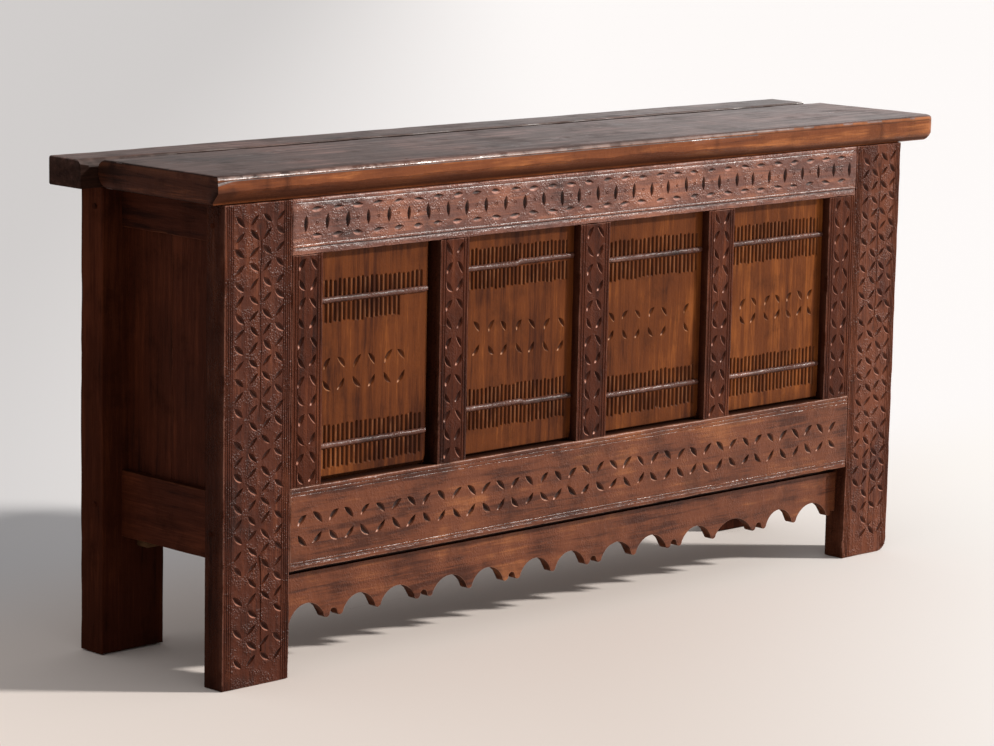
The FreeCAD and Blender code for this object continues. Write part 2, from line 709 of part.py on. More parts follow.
# Legs, cut last because every joint adds to them
leg_z = ("0", "leg_height")
front_leg_y = ("front_y", "front_inside")
rear_leg_y = ("back_inside", "back_y")
made("front_left_leg", [block("front_left_leg_plank", [("left_x", "front_left"), front_leg_y, leg_z])],
     cuts["front_left_leg"])
made("front_right_leg", [block("front_right_leg_plank", [("front_right", "right_x"), front_leg_y, leg_z])],
     cuts["front_right_leg"])
made("rear_left_leg", [block("rear_left_leg_plank", [("left_x", "back_left"), rear_leg_y, leg_z]),
                       leg_top_tenons["left"]], cuts["rear_left_leg"])
made("rear_right_leg", [block("rear_right_leg_plank", [("back_right", "right_x"), rear_leg_y, leg_z]),
                        leg_top_tenons["right"]], cuts["rear_right_leg"])
for group in (rails, uprights, bearers, floor_boards):
    for name, solids in group.items():
        made(name, solids, cuts[name])
made("lid_board", lid_solids, cuts["lid_board"])
made("rear_top_board", [body], cuts["rear_top_board"])

doc.recompute()

# Nothing is written unless every object came out sound
for thing in doc.Objects:
    if {"Invalid", "Error"} & set(thing.State):
        raise RuntimeError(f"{thing.Label} failed: {thing.State}")
os.makedirs("parts", exist_ok=True)
for name, thing in sorted(pieces.items()):
    shape = thing.Shape
    if shape.isNull() or not shape.isValid() or not shape.Solids:
        raise RuntimeError(f"{name} is not a sound solid")
    shape.exportStep(f"parts/{name}.step")
print(len(pieces), "pieces written")
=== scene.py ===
import math
import random
import bpy
from mathutils import Matrix, Vector, noise
from mathutils.geometry import delaunay_2d_cdt


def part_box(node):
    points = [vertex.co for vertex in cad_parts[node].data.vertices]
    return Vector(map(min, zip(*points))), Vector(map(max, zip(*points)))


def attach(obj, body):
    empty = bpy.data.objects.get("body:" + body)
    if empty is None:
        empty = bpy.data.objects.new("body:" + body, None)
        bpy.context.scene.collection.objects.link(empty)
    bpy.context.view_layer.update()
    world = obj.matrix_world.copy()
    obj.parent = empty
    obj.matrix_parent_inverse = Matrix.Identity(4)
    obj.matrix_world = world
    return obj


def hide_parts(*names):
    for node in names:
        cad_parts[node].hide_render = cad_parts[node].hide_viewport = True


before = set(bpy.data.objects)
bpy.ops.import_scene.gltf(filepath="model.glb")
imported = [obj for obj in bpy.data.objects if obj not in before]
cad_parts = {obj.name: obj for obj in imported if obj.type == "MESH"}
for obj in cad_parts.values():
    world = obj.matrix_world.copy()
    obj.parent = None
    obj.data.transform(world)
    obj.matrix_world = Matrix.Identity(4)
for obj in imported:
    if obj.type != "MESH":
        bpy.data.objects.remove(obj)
for leftover in ("Cube", "Light", "Camera"):  # what Blender's own start-up scene brings
    if leftover in bpy.data.objects:
        bpy.data.objects.remove(bpy.data.objects[leftover], do_unlink=True)
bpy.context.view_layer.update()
mm = 0.001
print("frame loaded:", len(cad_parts), "nodes")


def linked(name, data):
    thing = bpy.data.objects.new(name, data)
    bpy.context.scene.collection.objects.link(thing)
    return thing


# Places, in millimetres: the three spans of a CAD node
def spansOf(node):
    low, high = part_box(node)
    return [[low[axis] / mm, high[axis] / mm] for axis in range(3)]


def pieceName(node):
    first, *rest = node.split("_")
    return first + "".join(word.capitalize() for word in rest)


def unevenness(seed, *place):  # smooth seeded noise, about -1 to 1
    return noise.noise(Vector((*place, 0, 0)[:2] + (seed * 3.71 + 0.37,)))


# Finishes
def linear(share):
    return share / 12.92 if share <= 0.04045 else ((share + 0.055) / 1.055) ** 2.4


def paint(red, green, blue):  # a colour, given from 0 to 255
    return (*(linear(value / 255) for value in (red, green, blue)), 1)


def newNode(tree, kind, inputs=None, **settings):
    node = tree.nodes.new(kind)
    for key, value in settings.items():
        setattr(node, key, value)
    for key, value in (inputs or {}).items():
        if hasattr(value, "is_output"):
            tree.links.new(value, node.inputs[key])
        else:
            node.inputs[key].default_value = value
    return node


def newTree(name, family, inputs, outputs):  # each socket by its name, its kind and perhaps its first value
    tree = bpy.data.node_groups.new(name, family)
    for way, rows in (("OUTPUT", outputs), ("INPUT", inputs)):
        for word, kind, *start in rows:
            socket = tree.interface.new_socket(word, in_out=way, socket_type="NodeSocket" + kind)
            if start:
                socket.default_value = start[0]
    return tree, tree.nodes.new("NodeGroupInput").outputs, tree.nodes.new("NodeGroupOutput").inputs


def mathOf(tree, operation, first, second=0.0, third=0.0, clamp=False):
    node = newNode(tree, "ShaderNodeMath", {0: first, 1: second, 2: third}, operation=operation)
    node.use_clamp = clamp
    return node.outputs[0]


def mixOf(tree, share, first, second):
    sockets = {"Factor": share, 6: first, 7: second}
    return newNode(tree, "ShaderNodeMix", sockets, data_type="RGBA").outputs[2]


def spreadOf(tree, value, low, high, first=0.0, last=1.0):  # a smooth step from low to high
    sockets = {"Value": value, "From Min": low, "From Max": high, "To Min": first, "To Max": last}
    return newNode(tree, "ShaderNodeMapRange", sockets, interpolation_type="SMOOTHSTEP").outputs[0]


def noiseOf(tree, vector, scale, detail=3.0, roughness=0.55, turn=None, distortion=0.0):
    sockets = {"Vector": vector, "Scale": scale, "Detail": detail, "Roughness": roughness,
               "Distortion": distortion}
    if turn is not None:
        sockets["W"] = turn
    dimensions = "3D" if turn is None else "4D"
    return newNode(tree, "ShaderNodeTexNoise", sockets, noise_dimensions=dimensions).outputs["Fac"]


def makeGrainGroup():
    tree, given, out = newTree("woodGrain", "ShaderNodeTree", [
        ("Along", "Vector"), ("Place", "Vector"), ("Tone", "Float", 0.5), ("Turn", "Float", 0.0),
        ("Dark", "Color"), ("Middle", "Color"), ("Light", "Color"), ("Mottle", "Float", 0.4)],
        [("Color", "Color"), ("Height", "Float")])
    turn = mathOf(tree, "MULTIPLY", given["Turn"], 37.0)
    mottle = noiseOf(tree, given["Place"], 6.0, 3.0, 0.6, turn)
    streaks = noiseOf(tree, given["Along"], 75.0, 4.0, 0.6, turn, 0.4)
    fibres = noiseOf(tree, given["Along"], 420.0, 2.0, 0.6)
    share = mathOf(tree, "MULTIPLY", streaks, 0.6)
    share = mathOf(tree, "MULTIPLY_ADD", fibres, 0.2, share)
    lean = mathOf(tree, "MULTIPLY", mathOf(tree, "SUBTRACT", mottle, 0.5), given["Mottle"])
    share = mathOf(tree, "ADD", share, lean)
    share = mathOf(tree, "ADD", share, mathOf(tree, "MULTIPLY_ADD", given["Tone"], 0.16, 0.02))
    lower = mixOf(tree, spreadOf(tree, share, 0.32, 0.5), given["Dark"], given["Middle"])
    tree.links.new(mixOf(tree, spreadOf(tree, share, 0.5, 0.7), lower, given["Light"]), out["Color"])
    height = mathOf(tree, "MULTIPLY_ADD", streaks, 0.5, mathOf(tree, "MULTIPLY", fibres, 0.5))
    tree.links.new(height, out["Height"])
    return tree


def makeWearGroup():  # arrises rubbed pale in patches, as wear and as painted highlight, and a painted glint where the edge value is highest
    tree, given, out = newTree("edgeWear", "ShaderNodeTree", [
        ("Color", "Color"), ("Worn", "Color"), ("Edge", "Float", 0.0), ("Place", "Vector"),
        ("Amount", "Float", 0.6), ("Bare", "Color")], [("Color", "Color")])
    patches = spreadOf(tree, noiseOf(tree, given["Place"], 28.0, 3.0), 0.34, 0.56)
    mask = mathOf(tree, "MULTIPLY", patches, given["Edge"])
    mask = mathOf(tree, "MULTIPLY", mask, given["Amount"], clamp=True)
    rubbed = mixOf(tree, mask, given["Color"], given["Worn"])
    bare = mathOf(tree, "MULTIPLY", spreadOf(tree, given["Edge"], 1.9, 2.5),
                  spreadOf(tree, noiseOf(tree, given["Place"], 45.0, 1.0), 0.42, 0.6, 0.05, 0.7))
    tree.links.new(mixOf(tree, bare, rubbed, given["Bare"]), out["Color"])
    return tree


def makeDirtAndShadeGroup():  # darkening by the cut value: dirt deep in the cuts, also standing in for their shade, and painted shade where the value is raised along feet, steps and shaded rows; thin grime over the rest
    tree, given, out = newTree("carveDirt", "ShaderNodeTree", [
        ("Color", "Color"), ("Dirt", "Color"), ("Cut", "Float", 0.0), ("Place", "Vector"),
        ("Depth", "Float", 0.85), ("Grime", "Float", 0.4)], [("Color", "Color"), ("Film", "Float")])
    deep = mathOf(tree, "MULTIPLY", spreadOf(tree, given["Cut"], 0.1, 1.0), given["Depth"])
    film = spreadOf(tree, noiseOf(tree, given["Place"], 13.0, 5.0, 0.65), 0.5, 0.72)
    film = mathOf(tree, "MULTIPLY", film, given["Grime"], clamp=True)
    mask = mathOf(tree, "MAXIMUM", deep, film, clamp=True)
    tree.links.new(mixOf(tree, mask, given["Color"], given["Dirt"]), out["Color"])
    tree.links.new(film, out["Film"])
    return tree


def makeToolGroup():  # scraped and dented surface, as a height
    tree, given, out = newTree("toolMarks", "ShaderNodeTree", [
        ("Along", "Vector"), ("Place", "Vector"), ("Grain", "Float", 0.0), ("Dents", "Float", 1.0),
        ("Stipple", "Float", 0.0)], [("Height", "Float")])
    dents = noiseOf(tree, given["Place"], 140.0, 3.0, 0.6)
    cells = newNode(tree, "ShaderNodeTexVoronoi", {"Vector": given["Place"], "Scale": 260.0})
    worn = spreadOf(tree, noiseOf(tree, given["Place"], 30.0, 2.0), 0.4, 0.6)
    punched = mathOf(tree, "MULTIPLY", cells.outputs["Distance"], worn)
    punched = mathOf(tree, "MULTIPLY", punched, given["Stipple"])
    scrapes = noiseOf(tree, given["Along"], 40.0, 3.0, 0.5, None, 0.5)
    total = mathOf(tree, "MULTIPLY_ADD", scrapes, 0.7, mathOf(tree, "MULTIPLY", dents, given["Dents"]))
    total = mathOf(tree, "ADD", total, punched)
    tree.links.new(mathOf(tree, "MULTIPLY_ADD", given["Grain"], 0.45, total), out["Height"])
    return tree


shared = {"grain": makeGrainGroup(), "wear": makeWearGroup(), "dirt": makeDirtAndShadeGroup(),
          "tools": makeToolGroup()}
grainStretch = {"x": (0.06, 1, 1), "y": (1, 0.06, 1), "z": (1, 1, 0.06)}

def finishOf(dark, middle, light, worn, **surface):
    colours = {"dark": dark, "middle": middle, "light": light, "worn": worn}
    if "bare" in surface:
        colours["bare"] = surface.pop("bare")
    return {**{word: paint(*colour) for word, colour in colours.items()}, **surface}


# In each finish, the worn colour paints rubbed arrises and also painted highlights on lips and ridges; the
# glint colour, where one is given, is a painted glint; the sides' copy is darkened by a factor, as painted
# shade; the cut value darkens by a depth, for dirt in cuts and for painted shade.
finishes = {
    "dark_wood": finishOf((46, 21, 14), (74, 36, 23), (106, 58, 38), (182, 126, 106),
                          rough=(0.28, 0.42), gloss=0.12, bump=1.2, stipple=1.5, dull=0.5, dirt=0.75),
    "stile": finishOf((44, 20, 13), (74, 36, 22), (108, 58, 36), (182, 126, 106),
                      rough=(0.3, 0.44), gloss=0.07, bump=1.0, stipple=0.8, dirt=0.75),
    "top_rail": finishOf((52, 26, 20), (100, 58, 45), (146, 90, 66), (190, 138, 122),
                         rough=(0.32, 0.48), gloss=0.42, bump=1.1, stipple=1.2, mottle=0.7),
    "warm_wood": finishOf((68, 34, 21), (105, 58, 37), (142, 86, 52), (192, 142, 120),
                          rough=(0.28, 0.42), gloss=0.2, bump=0.9, stipple=0.7, mottle=0.9, dirtTone=0.25),
    # its glint colour is a painted glint
    "panel_wood": finishOf((62, 29, 14), (96, 50, 23), (138, 78, 36), (170, 116, 80),
                           rough=(0.28, 0.42), gloss=0.07, bump=0.5, stipple=0.1, dirt=0.78, dirtTone=0.4,
                            bare=(190, 140, 112)),
    "bar_wood": finishOf((34, 18, 14), (88, 55, 45), (138, 96, 80), (150, 112, 98),
                         rough=(0.2, 0.45), gloss=0.26, bump=1.2, stipple=0.8),
    "lid_wood": finishOf((38, 22, 17), (76, 48, 38), (124, 84, 73), (205, 172, 160),
                         rough=(0.28, 0.42), gloss=0.62, bump=0.6, stipple=0.1, dull=0.4),
    "lid_edge": finishOf((84, 44, 27), (118, 66, 39), (166, 102, 60), (196, 146, 120),
                         rough=(0.3, 0.45), gloss=0.1, bump=0.6, stipple=0.2),
    # darker, for the lid's left end: painted shade
    "lid_end": finishOf((34, 17, 12), (62, 32, 21), (104, 58, 32), (130, 84, 60),
                        rough=(0.45, 0.6), gloss=0.06, bump=0.6, stipple=0.2),
    # darker than the front's woods: painted shade for the ends and the rear legs
    "end_wood": finishOf((34, 14, 8), (60, 26, 14), (80, 38, 21), (104, 62, 40),
                         rough=(0.55, 0.7), gloss=0.05, bump=0.5, stipple=0.2, dull=0.85),
    "back_wood": finishOf((50, 32, 23), (84, 56, 40), (112, 80, 58), (136, 104, 80),
                          rough=(0.6, 0.75), gloss=0.15, bump=0.6, stipple=0.3),
    "inner_wood": finishOf((84, 58, 40), (128, 94, 66), (160, 124, 90), (176, 144, 112),
                           rough=(0.62, 0.78), gloss=0.15, bump=0.5, stipple=0.2),
    "peg_wood": finishOf((40, 22, 15), (68, 40, 28), (92, 58, 40), (130, 92, 70),
                         rough=(0.4, 0.55), gloss=0.2, bump=0.4, stipple=0.2),
}


def toned(colour, share):
    return (*(value * share for value in colour[:3]), 1)


def makeWood(slot, way, dull=False):  # the dull copy is for sides and ends: never polished, and its colours darkened as painted shade
    look = finishes[slot]
    material = bpy.data.materials.new(f"{pieceName(slot)}_{way}" + ("_dull" if dull else ""))
    material.use_nodes = True
    tree = material.node_tree
    shader = tree.nodes["Principled BSDF"]
    place = tree.nodes.new("ShaderNodeTexCoord").outputs["Object"]
    along = newNode(tree, "ShaderNodeMapping", {"Vector": place, "Scale": grainStretch[way]}).outputs[0]
    tone, turn, cut, edge = (newNode(tree, "ShaderNodeAttribute", attribute_name=word).outputs["Fac"]
                             for word in ("tone", "turn", "cut", "edge"))

    def placed(key, inputs):
        return newNode(tree, "ShaderNodeGroup", inputs, node_tree=shared[key]).outputs

    # the sides' copy has its colours darkened: painted shade
    depth = look.get("dull", 0.55) if dull else 1.0
    grain = placed("grain", {
        "Along": along, "Place": place, "Tone": tone, "Turn": turn, "Mottle": look.get("mottle", 0.5),
        **{word.capitalize(): toned(look[word], depth) for word in ("dark", "middle", "light")}})
    # the cut value darkens the colour: dirt in cuts, and painted shade
    dirt = placed("dirt", {
        "Color": grain["Color"], "Dirt": toned(look["dark"], look.get("dirtTone", 0.55)), "Cut": cut,
        "Place": place, "Depth": look.get("dirt", 0.9)})
    # pale rubbed arrises and painted highlights, and painted glints
    wear = placed("wear", {
        "Color": dirt["Color"], "Worn": look["worn"], "Edge": edge, "Place": place,
        "Amount": 0.15 if dull else 0.5, "Bare": look.get("bare", paint(222, 188, 176))})
    punched = spreadOf(tree, cut, 0.02, 0.2, look["stipple"], 0.0)
    tools = placed("tools", {"Along": along, "Place": place, "Grain": grain["Height"], "Stipple": punched})
    tree.links.new(wear["Color"], shader.inputs["Base Color"])
    low, high = look["rough"]
    rough = spreadOf(tree, grain["Height"], 0.35, 0.65, high, low)
    rough = mathOf(tree, "MULTIPLY_ADD", dirt["Film"], 0.3, rough, clamp=True)
    rough = mathOf(tree, "MULTIPLY_ADD", spreadOf(tree, cut, 0.02, 0.15), -0.08, rough, clamp=True)
    rough = mathOf(tree, "MULTIPLY_ADD", spreadOf(tree, cut, 0.45, 0.85), 0.35, rough, clamp=True)
    if dull:
        rough = mathOf(tree, "ADD", rough, 0.25, clamp=True)
    elif slot == "lid_wood":  # rubbed smoother towards the right
        parts = newNode(tree, "ShaderNodeSeparateXYZ", {0: place}).outputs
        rough = mathOf(tree, "ADD", rough, spreadOf(tree, parts["X"], -1.1, 0.8, 0.26, 0.0), clamp=True)
        rubbed = spreadOf(tree, parts["X"], -0.5, 0.15, -0.3, 0.3)
        rough = mathOf(tree, "MULTIPLY_ADD", spreadOf(tree, edge, 0.1, 0.5), rubbed, rough, clamp=True)
    tree.links.new(rough, shader.inputs["Roughness"])
    shader.inputs["Specular IOR Level"].default_value = 0.04 if dull else look["gloss"]
    bump = newNode(tree, "ShaderNodeBump", {"Height": tools["Height"], "Strength": look["bump"],
                                            "Distance": 0.0012})
    tree.links.new(bump.outputs[0], shader.inputs["Normal"])
    return material


woods = {(slot, way): (makeWood(slot, way), makeWood(slot, way, True))
         for slot in finishes for way in "xyz"}


def makeIron():
    material = bpy.data.materials.new("blackIron")
    material.use_nodes = True
    tree = material.node_tree
    shader = tree.nodes["Principled BSDF"]
    place = tree.nodes.new("ShaderNodeTexCoord").outputs["Object"]
    scale = noiseOf(tree, place, 180.0, 4.0)
    rust = spreadOf(tree, noiseOf(tree, place, 60.0, 5.0, 0.7), 0.5, 0.66)
    colour = mixOf(tree, spreadOf(tree, scale, 0.35, 0.65), paint(30, 28, 28), paint(74, 70, 68))
    colour = mixOf(tree, mathOf(tree, "MULTIPLY", rust, 0.7), colour, paint(92, 50, 30))
    tree.links.new(colour, shader.inputs["Base Color"])
    tree.links.new(mathOf(tree, "MULTIPLY_ADD", rust, -0.7, 0.8, clamp=True), shader.inputs["Metallic"])
    tree.links.new(mathOf(tree, "MULTIPLY_ADD", rust, 0.3, 0.48), shader.inputs["Roughness"])
    bump = newNode(tree, "ShaderNodeBump", {"Height": scale, "Strength": 0.5, "Distance": 0.0006})
    tree.links.new(bump.outputs[0], shader.inputs["Normal"])
    return material


iron = makeIron()
print("finishes made")


# Carving: each cut is a set of outlines, the lines at its foot, and a depth at any place
def leafCut(u, v, degrees, length, width, depth, lean=0.0, bow=0.0, tip=0.0):
    # a scooped leaf: lean moves its foot to one side and tip along it, bow bends it
    turn = math.radians(degrees)
    run, rise = math.cos(turn), math.sin(turn)
    half, side = length / 2, width / 2

    def spot(p, q):
        q += bow * (1 - (p / half) ** 2) - bow * 0.5
        return (u + p * run - q * rise, v + p * rise + q * run)

    def bulge(p):
        return side * (1 - (p / half) ** 2)

    marks = [half * share for share in (-1, -0.72, -0.36, 0, 0.36, 0.72, 1)]

    def around(more):
        reach = [(half + more) / half * p for p in marks]
        inner = list(zip(reach, marks))[1:-1]
        return ([spot(p, -bulge(q) - (more if abs(q) < half else 0)) for p, q in zip(reach, marks)]
                + [spot(p, bulge(q) + more) for p, q in reversed(inner)])

    def within(x, y):  # place along and across the leaf, and its width there
        p = (x - u) * run + (y - v) * rise
        q = -(x - u) * rise + (y - v) * run
        share = 1 - (p / half) ** 2
        return p, q - (bow * share - bow * 0.5), share

    def depthAt(x, y):
        p, q, share = within(x, y)
        if share <= 0.001 or abs(q) >= side * share:
            return 0
        foot = lean * side * share
        room = side * share + (foot if q < foot else -foot)
        start = tip * half
        along = (p - start) / (half - start if p > start else half + start)
        return depth * (1 - along ** 2) ** 0.8 * (1 - (abs(q - foot) / room) ** 2)

    def rubbed(x, y):  # painted highlight: the lower edge of a leaf, and its lower end, are painted pale as if they caught the light
        p, q, share = within(x, y)
        if share < 0.2 or abs(q) > side * share + 0.2:
            return 0
        if rise < 0.3:
            return 1.8 if q < -0.6 * side * share else 0
        inside = abs(q) < 0.9 * side * share
        return 2.6 if tip and inside and p < -0.42 * half else 0

    lines = [[spot(p, lean * bulge(p)) for p in marks]]
    for share in (-0.7, -0.35, 0.35, 0.7):
        lines.append([spot(p, (lean + share * (1 - lean * (1 if share > 0 else -1))) * bulge(p))
                      for p in marks[1:-1]])
    return {"loops": [around(0), around(1.2)] if rise < 0.3 else [around(0)], "lines": lines,
            "depth": depthAt, "rubbed": rubbed, "box": boxRound(u, v, half + abs(bow) + 1)}


def boxRound(u, v, reach):
    return (u - reach, v - reach, u + reach, v + reach)


def ellipse(u, v, across, up):
    turns = [2 * math.pi * corner / 8 for corner in range(8)]
    return [(u + across * math.cos(turn), v + up * math.sin(turn)) for turn in turns]


def ringCut(u, v, radius, width, depth):
    def depthAt(x, y):
        return depth * max(0, 1 - abs(math.hypot(x - u, y - v) - radius) / (width / 2))

    outer, foot, inner = (ellipse(u, v, reach, reach)
                          for reach in (radius + width / 2, radius, radius - width / 2))
    return {"loops": [outer, inner], "lines": [foot + foot[:1]], "depth": depthAt,
            "box": boxRound(u, v, radius + width)}


def fluteCut(u, low, high, width, depth):
    half = width / 2
    first, last = low + half, high - half
    turns = [math.pi * step / 4 for step in range(5)]
    outline = [(u - half * math.cos(turn), first - half * math.sin(turn)) for turn in turns]
    outline += [(u + half * math.cos(turn), last + half * math.sin(turn)) for turn in turns]

    def depthAt(x, y):
        away = math.hypot(x - u, y - min(max(y, first), last))
        return depth * max(0, 1 - (away / half) ** 2) ** 0.8

    # painted highlight along the rim to the left of a flute
    def rubbed(x, y):
        return 0.7 if u - half - 0.2 < x < u - half * 0.7 and first < y < last else 0

    lines = [[(u + half * share, first), (u + half * share, last)] for share in (-0.5, 0, 0.5)]
    return {"loops": [outline], "lines": lines, "depth": depthAt, "rubbed": rubbed,
            "box": (u - half - 1, low - 1, u + half + 1, high + 1)}


def pitCut(u, v, radius, depth):  # a dark knot or a small knock
    tall = 1.3

    def depthAt(x, y):
        return depth * max(0, 1 - math.hypot(x - u, (y - v) / tall) / radius) ** 0.5

    return {"loops": [ellipse(u, v, radius, radius * tall)], "lines": [[(u, v), (u + radius * 0.4, v)]],
            "depth": depthAt, "box": boxRound(u, v, radius * tall + 1)}


def crackCut(points, width, depth):
    half = width / 2

    def away(x, y):
        best = 1e9
        for (au, av), (bu, bv) in zip(points, points[1:]):
            run, rise = bu - au, bv - av
            share = ((x - au) * run + (y - av) * rise) / (run * run + rise * rise)
            share = min(max(share, 0), 1)
            best = min(best, math.hypot(x - au - share * run, y - av - share * rise))
        return best

    def depthAt(x, y):
        return depth * max(0, 1 - away(x, y) / half)

    left, right = [], []
    for index, (u, v) in enumerate(points):
        before, after = points[max(index - 1, 0)], points[min(index + 1, len(points) - 1)]
        run, rise = after[0] - before[0], after[1] - before[1]
        size = math.hypot(run, rise)
        side = half * (0 if index in (0, len(points) - 1) else 1)
        left.append((u - rise / size * side, v + run / size * side))
        right.append((u + rise / size * side, v - run / size * side))
    outline = right + left[-2:0:-1]
    us, vs = zip(*points)
    return {"loops": [outline], "lines": [points], "depth": depthAt,
            "box": (min(us) - 2, min(vs) - 2, max(us) + 2, max(vs) + 2)}


def touching(first, second, gap=0.6):
    a, b = first["box"], second["box"]
    return a[0] < b[2] + gap and b[0] < a[2] + gap and a[1] < b[3] + gap and b[1] < a[3] + gap


# Boards
def toWorld(facing, spans):
    (x0, x1), (y0, y1), (z0, z1) = spans
    return {
        "front": (lambda u, v, w: (x0 + u, y0 + w, z0 + v), (x1 - x0, z1 - z0, y1 - y0)),
        "back": (lambda u, v, w: (x1 - u, y1 - w, z0 + v), (x1 - x0, z1 - z0, y1 - y0)),
        "left": (lambda u, v, w: (x0 + w, y1 - u, z0 + v), (y1 - y0, z1 - z0, x1 - x0)),
        "right": (lambda u, v, w: (x1 - w, y0 + u, z0 + v), (y1 - y0, z1 - z0, x1 - x0)),
        "top": (lambda u, v, w: (x0 + u, y0 + v, z1 - w), (x1 - x0, y1 - y0, z1 - z0)),
    }[facing]


plainLook = {
    "wear": 1.5,  # radius of the worn arris
    "wearSpread": 0.5,
    "step": 14,  # size of the faces
    "sway": 0.5,  # how far the face is from flat
    "swaySize": 90,
    "edgeSway": 0.4,  # how far the sides are from straight
    "sideSway": 0.4,
    "dents": 5,
    "dentSize": 2.2,
    "backBevel": 1.2,
    "corners": (0, 0, 0, 0),  # plan radius, from the lower left corner
    "grooves": (),  # place, depth and width of scratched lines
    "groovesRun": "v",
    "profile": None,  # insets and depths down each of the four sides, in place of a plain arris
    "farProfile": None,
    "farSpan": (0.58, 0.78),  # where the front's shape changes to the far one
    "edgeFade": 0,  # how much less the arris is rubbed pale at the far end, where its painted highlight fades
    "rowSway": {},  # rows of the profile whose depth wavers, and by how much
    "rowDirt": {},  # painted shade: how dark those rows are on the side at v = 0
    "topDirt": {},  # and on the side across from it
    "stains": (),  # along the front: from, to, first row, last row and how dark; real stains, and also painted shade
    "ripple": 0,  # small hills over the face
    "foot": (0, 0),  # height and depth of a bevel along the lower edge, painted dark as shade
    "head": (0, 0),  # and of a step along the upper one, painted dark as shade
    "toneFar": None,  # the tone at the far end
    "finish": None,  # where it isn't the slot's own
    "band": None,  # the finish of the side towards the front
    "ends": None,  # the finish of the ends that face left; the lid's is darker, as painted shade
    "shinySides": False,  # the side towards the front is polished as the face is
    # faces turned further than this from the show face take the darkened copy: painted shade
    "dullBelow": 0.25,
    "lap": 2.2,  # flat rim inside the arris, which keeps the shading clean
    "seed": 1,
}


def sampleAt(at, ways, sides, blend, mark=None):
    return {"at": at, "ways": ways, "sides": sides, "blend": blend, "mark": mark}


def perimeterOf(width, height, look, marks):  # places round a rectangle, with their inward ways
    corners = look["corners"]
    room = look["wear"] * 1.6 + look["edgeSway"] + look["sideSway"] + 2.5 + look["lap"]
    room = look.get("room", room)
    sides = [((0, 0), (1, 0), width, (0, 1)), ((width, 0), (0, 1), height, (-1, 0)),
             ((width, height), (-1, 0), width, (0, -1)), ((0, height), (0, -1), height, (1, 0))]
    samples = []
    for number, ((u0, v0), (du, dv), length, inward) in enumerate(sides):
        before = sides[number - 1][3]
        both = ((number - 1) % 4, number)
        radius = corners[number]
        if radius:
            centre = (u0 + radius * (before[0] + inward[0]), v0 + radius * (before[1] + inward[1]))
            spots = [(step / 5, None) for step in range(1, 5)]
            if marks and number == 1 and look["groovesRun"] == "v":  # grooves end on the curve
                ends = [((mark[0] - centre[0]) / radius, index) for index, mark in enumerate(marks)]
                ends = [(2 / math.pi * math.asin(reach), index) for reach, index in ends if 0 < reach < 0.98]
                spots = [spot for spot in spots if all(abs(spot[0] - end[0]) > 0.06 for end in ends)]
                spots = sorted(spots + ends, key=lambda spot: spot[0])
            for share, mark in spots:
                turn = share * math.pi / 2
                way = [before[axis] * math.cos(turn) + inward[axis] * math.sin(turn) for axis in (0, 1)]
                at = (centre[0] - radius * way[0], centre[1] - radius * way[1])
                ways = ([(1 - share) * part for part in way], [share * part for part in way])
                samples.append(sampleAt(at, ways, both, share, mark))
        else:
            samples.append(sampleAt((u0, v0), (before, inward), both, 0.5))
        start = radius or room
        end = length - (corners[(number + 1) % 4] or room)
        count = max(1, round((end - start) / look["step"]))
        places = [(start + (end - start) * index / count, None) for index in range(count + 1)]
        crossed = 0 if look["groovesRun"] == "v" else 1  # the pair of sides that the grooves run into
        if marks and number % 2 == crossed:
            far = number in (1, 2)
            wanted = [(mark[1 if far else 0], index) for index, mark in enumerate(marks)]
            if number >= 2:
                wanted = [(length - place, index) for place, index in wanted]
            elif number == 0:
                wanted = [(place, index) for place, index in wanted if place < length - corners[1]]
            kept = [place for place in places if all(abs(place[0] - other[0]) > 1.5 for other in wanted)]
            places = sorted(kept + wanted, key=lambda place: place[0])
        for place, mark in places:
            at = (u0 + du * place, v0 + dv * place)
            samples.append(sampleAt(at, ((0, 0), inward), (number, number), 1, mark))
    return samples


def outlineSamples(points):  # the same for any closed outline, anticlockwise
    samples = []
    for index, (u, v) in enumerate(points):
        (pu, pv), (nu, nv) = points[index - 1], points[(index + 1) % len(points)]
        first = Vector((-(v - pv), u - pu)).normalized()
        second = Vector((-(nv - v), nu - u)).normalized()
        scale = 1 / max(0.5, 1 + first.dot(second))
        samples.append(sampleAt((u, v), (tuple(first * scale), tuple(second * scale)), (0, 0), 0.5))
    return samples


def insideOutline(u, v, outline, gap=0):
    inside = False
    for (au, av), (bu, bv) in zip(outline, outline[1:] + outline[:1]):
        if (av > v) != (bv > v) and u < (bu - au) * (v - av) / (bv - av) + au:
            inside = not inside
        if abs(au - u) < gap and abs(av - v) < gap:
            return False
    return inside


def rowsOf(look, side, along, thick, worn):  # insets and depths down one side, from the face's rim
    rimInset = look["wear"] * 1.6 + look["lap"]
    if look["profile"]:
        shape = look["profile"][side]
        if look["farProfile"] and side == 0:  # the front's shape changes along the board
            start, end = look["farSpan"]
            share = min(max((along - start) / (end - start), 0), 1)
            shape = [(a * (1 - share) + c * share, b * (1 - share) + d * share)
                     for (a, b), (c, d) in zip(shape, look["farProfile"])]
        rim = shape[0][0] + look["lap"]
        scale = min(worn / look["wear"], (rim - 0.3) / shape[0][0])
        shape = [(inset * (scale if depth < thick * 0.3 else 1), depth) for inset, depth in shape]
        return [(rim, 0)] + shape + [(shape[-1][0] + 4, thick)]
    soft = [(worn * (1 - math.sin(turn)), worn * (1 - math.cos(turn)))
            for turn in (0, math.pi / 6, math.pi / 3, math.pi / 2)]
    bevel = look["backBevel"]
    middle = [(0, worn + share * (thick - worn - bevel)) for share in ([0.3, 0.62] if thick > 30 else [0.5])]
    return [(rimInset, 0)] + soft + middle + [(0, thick - bevel), (bevel, thick)]


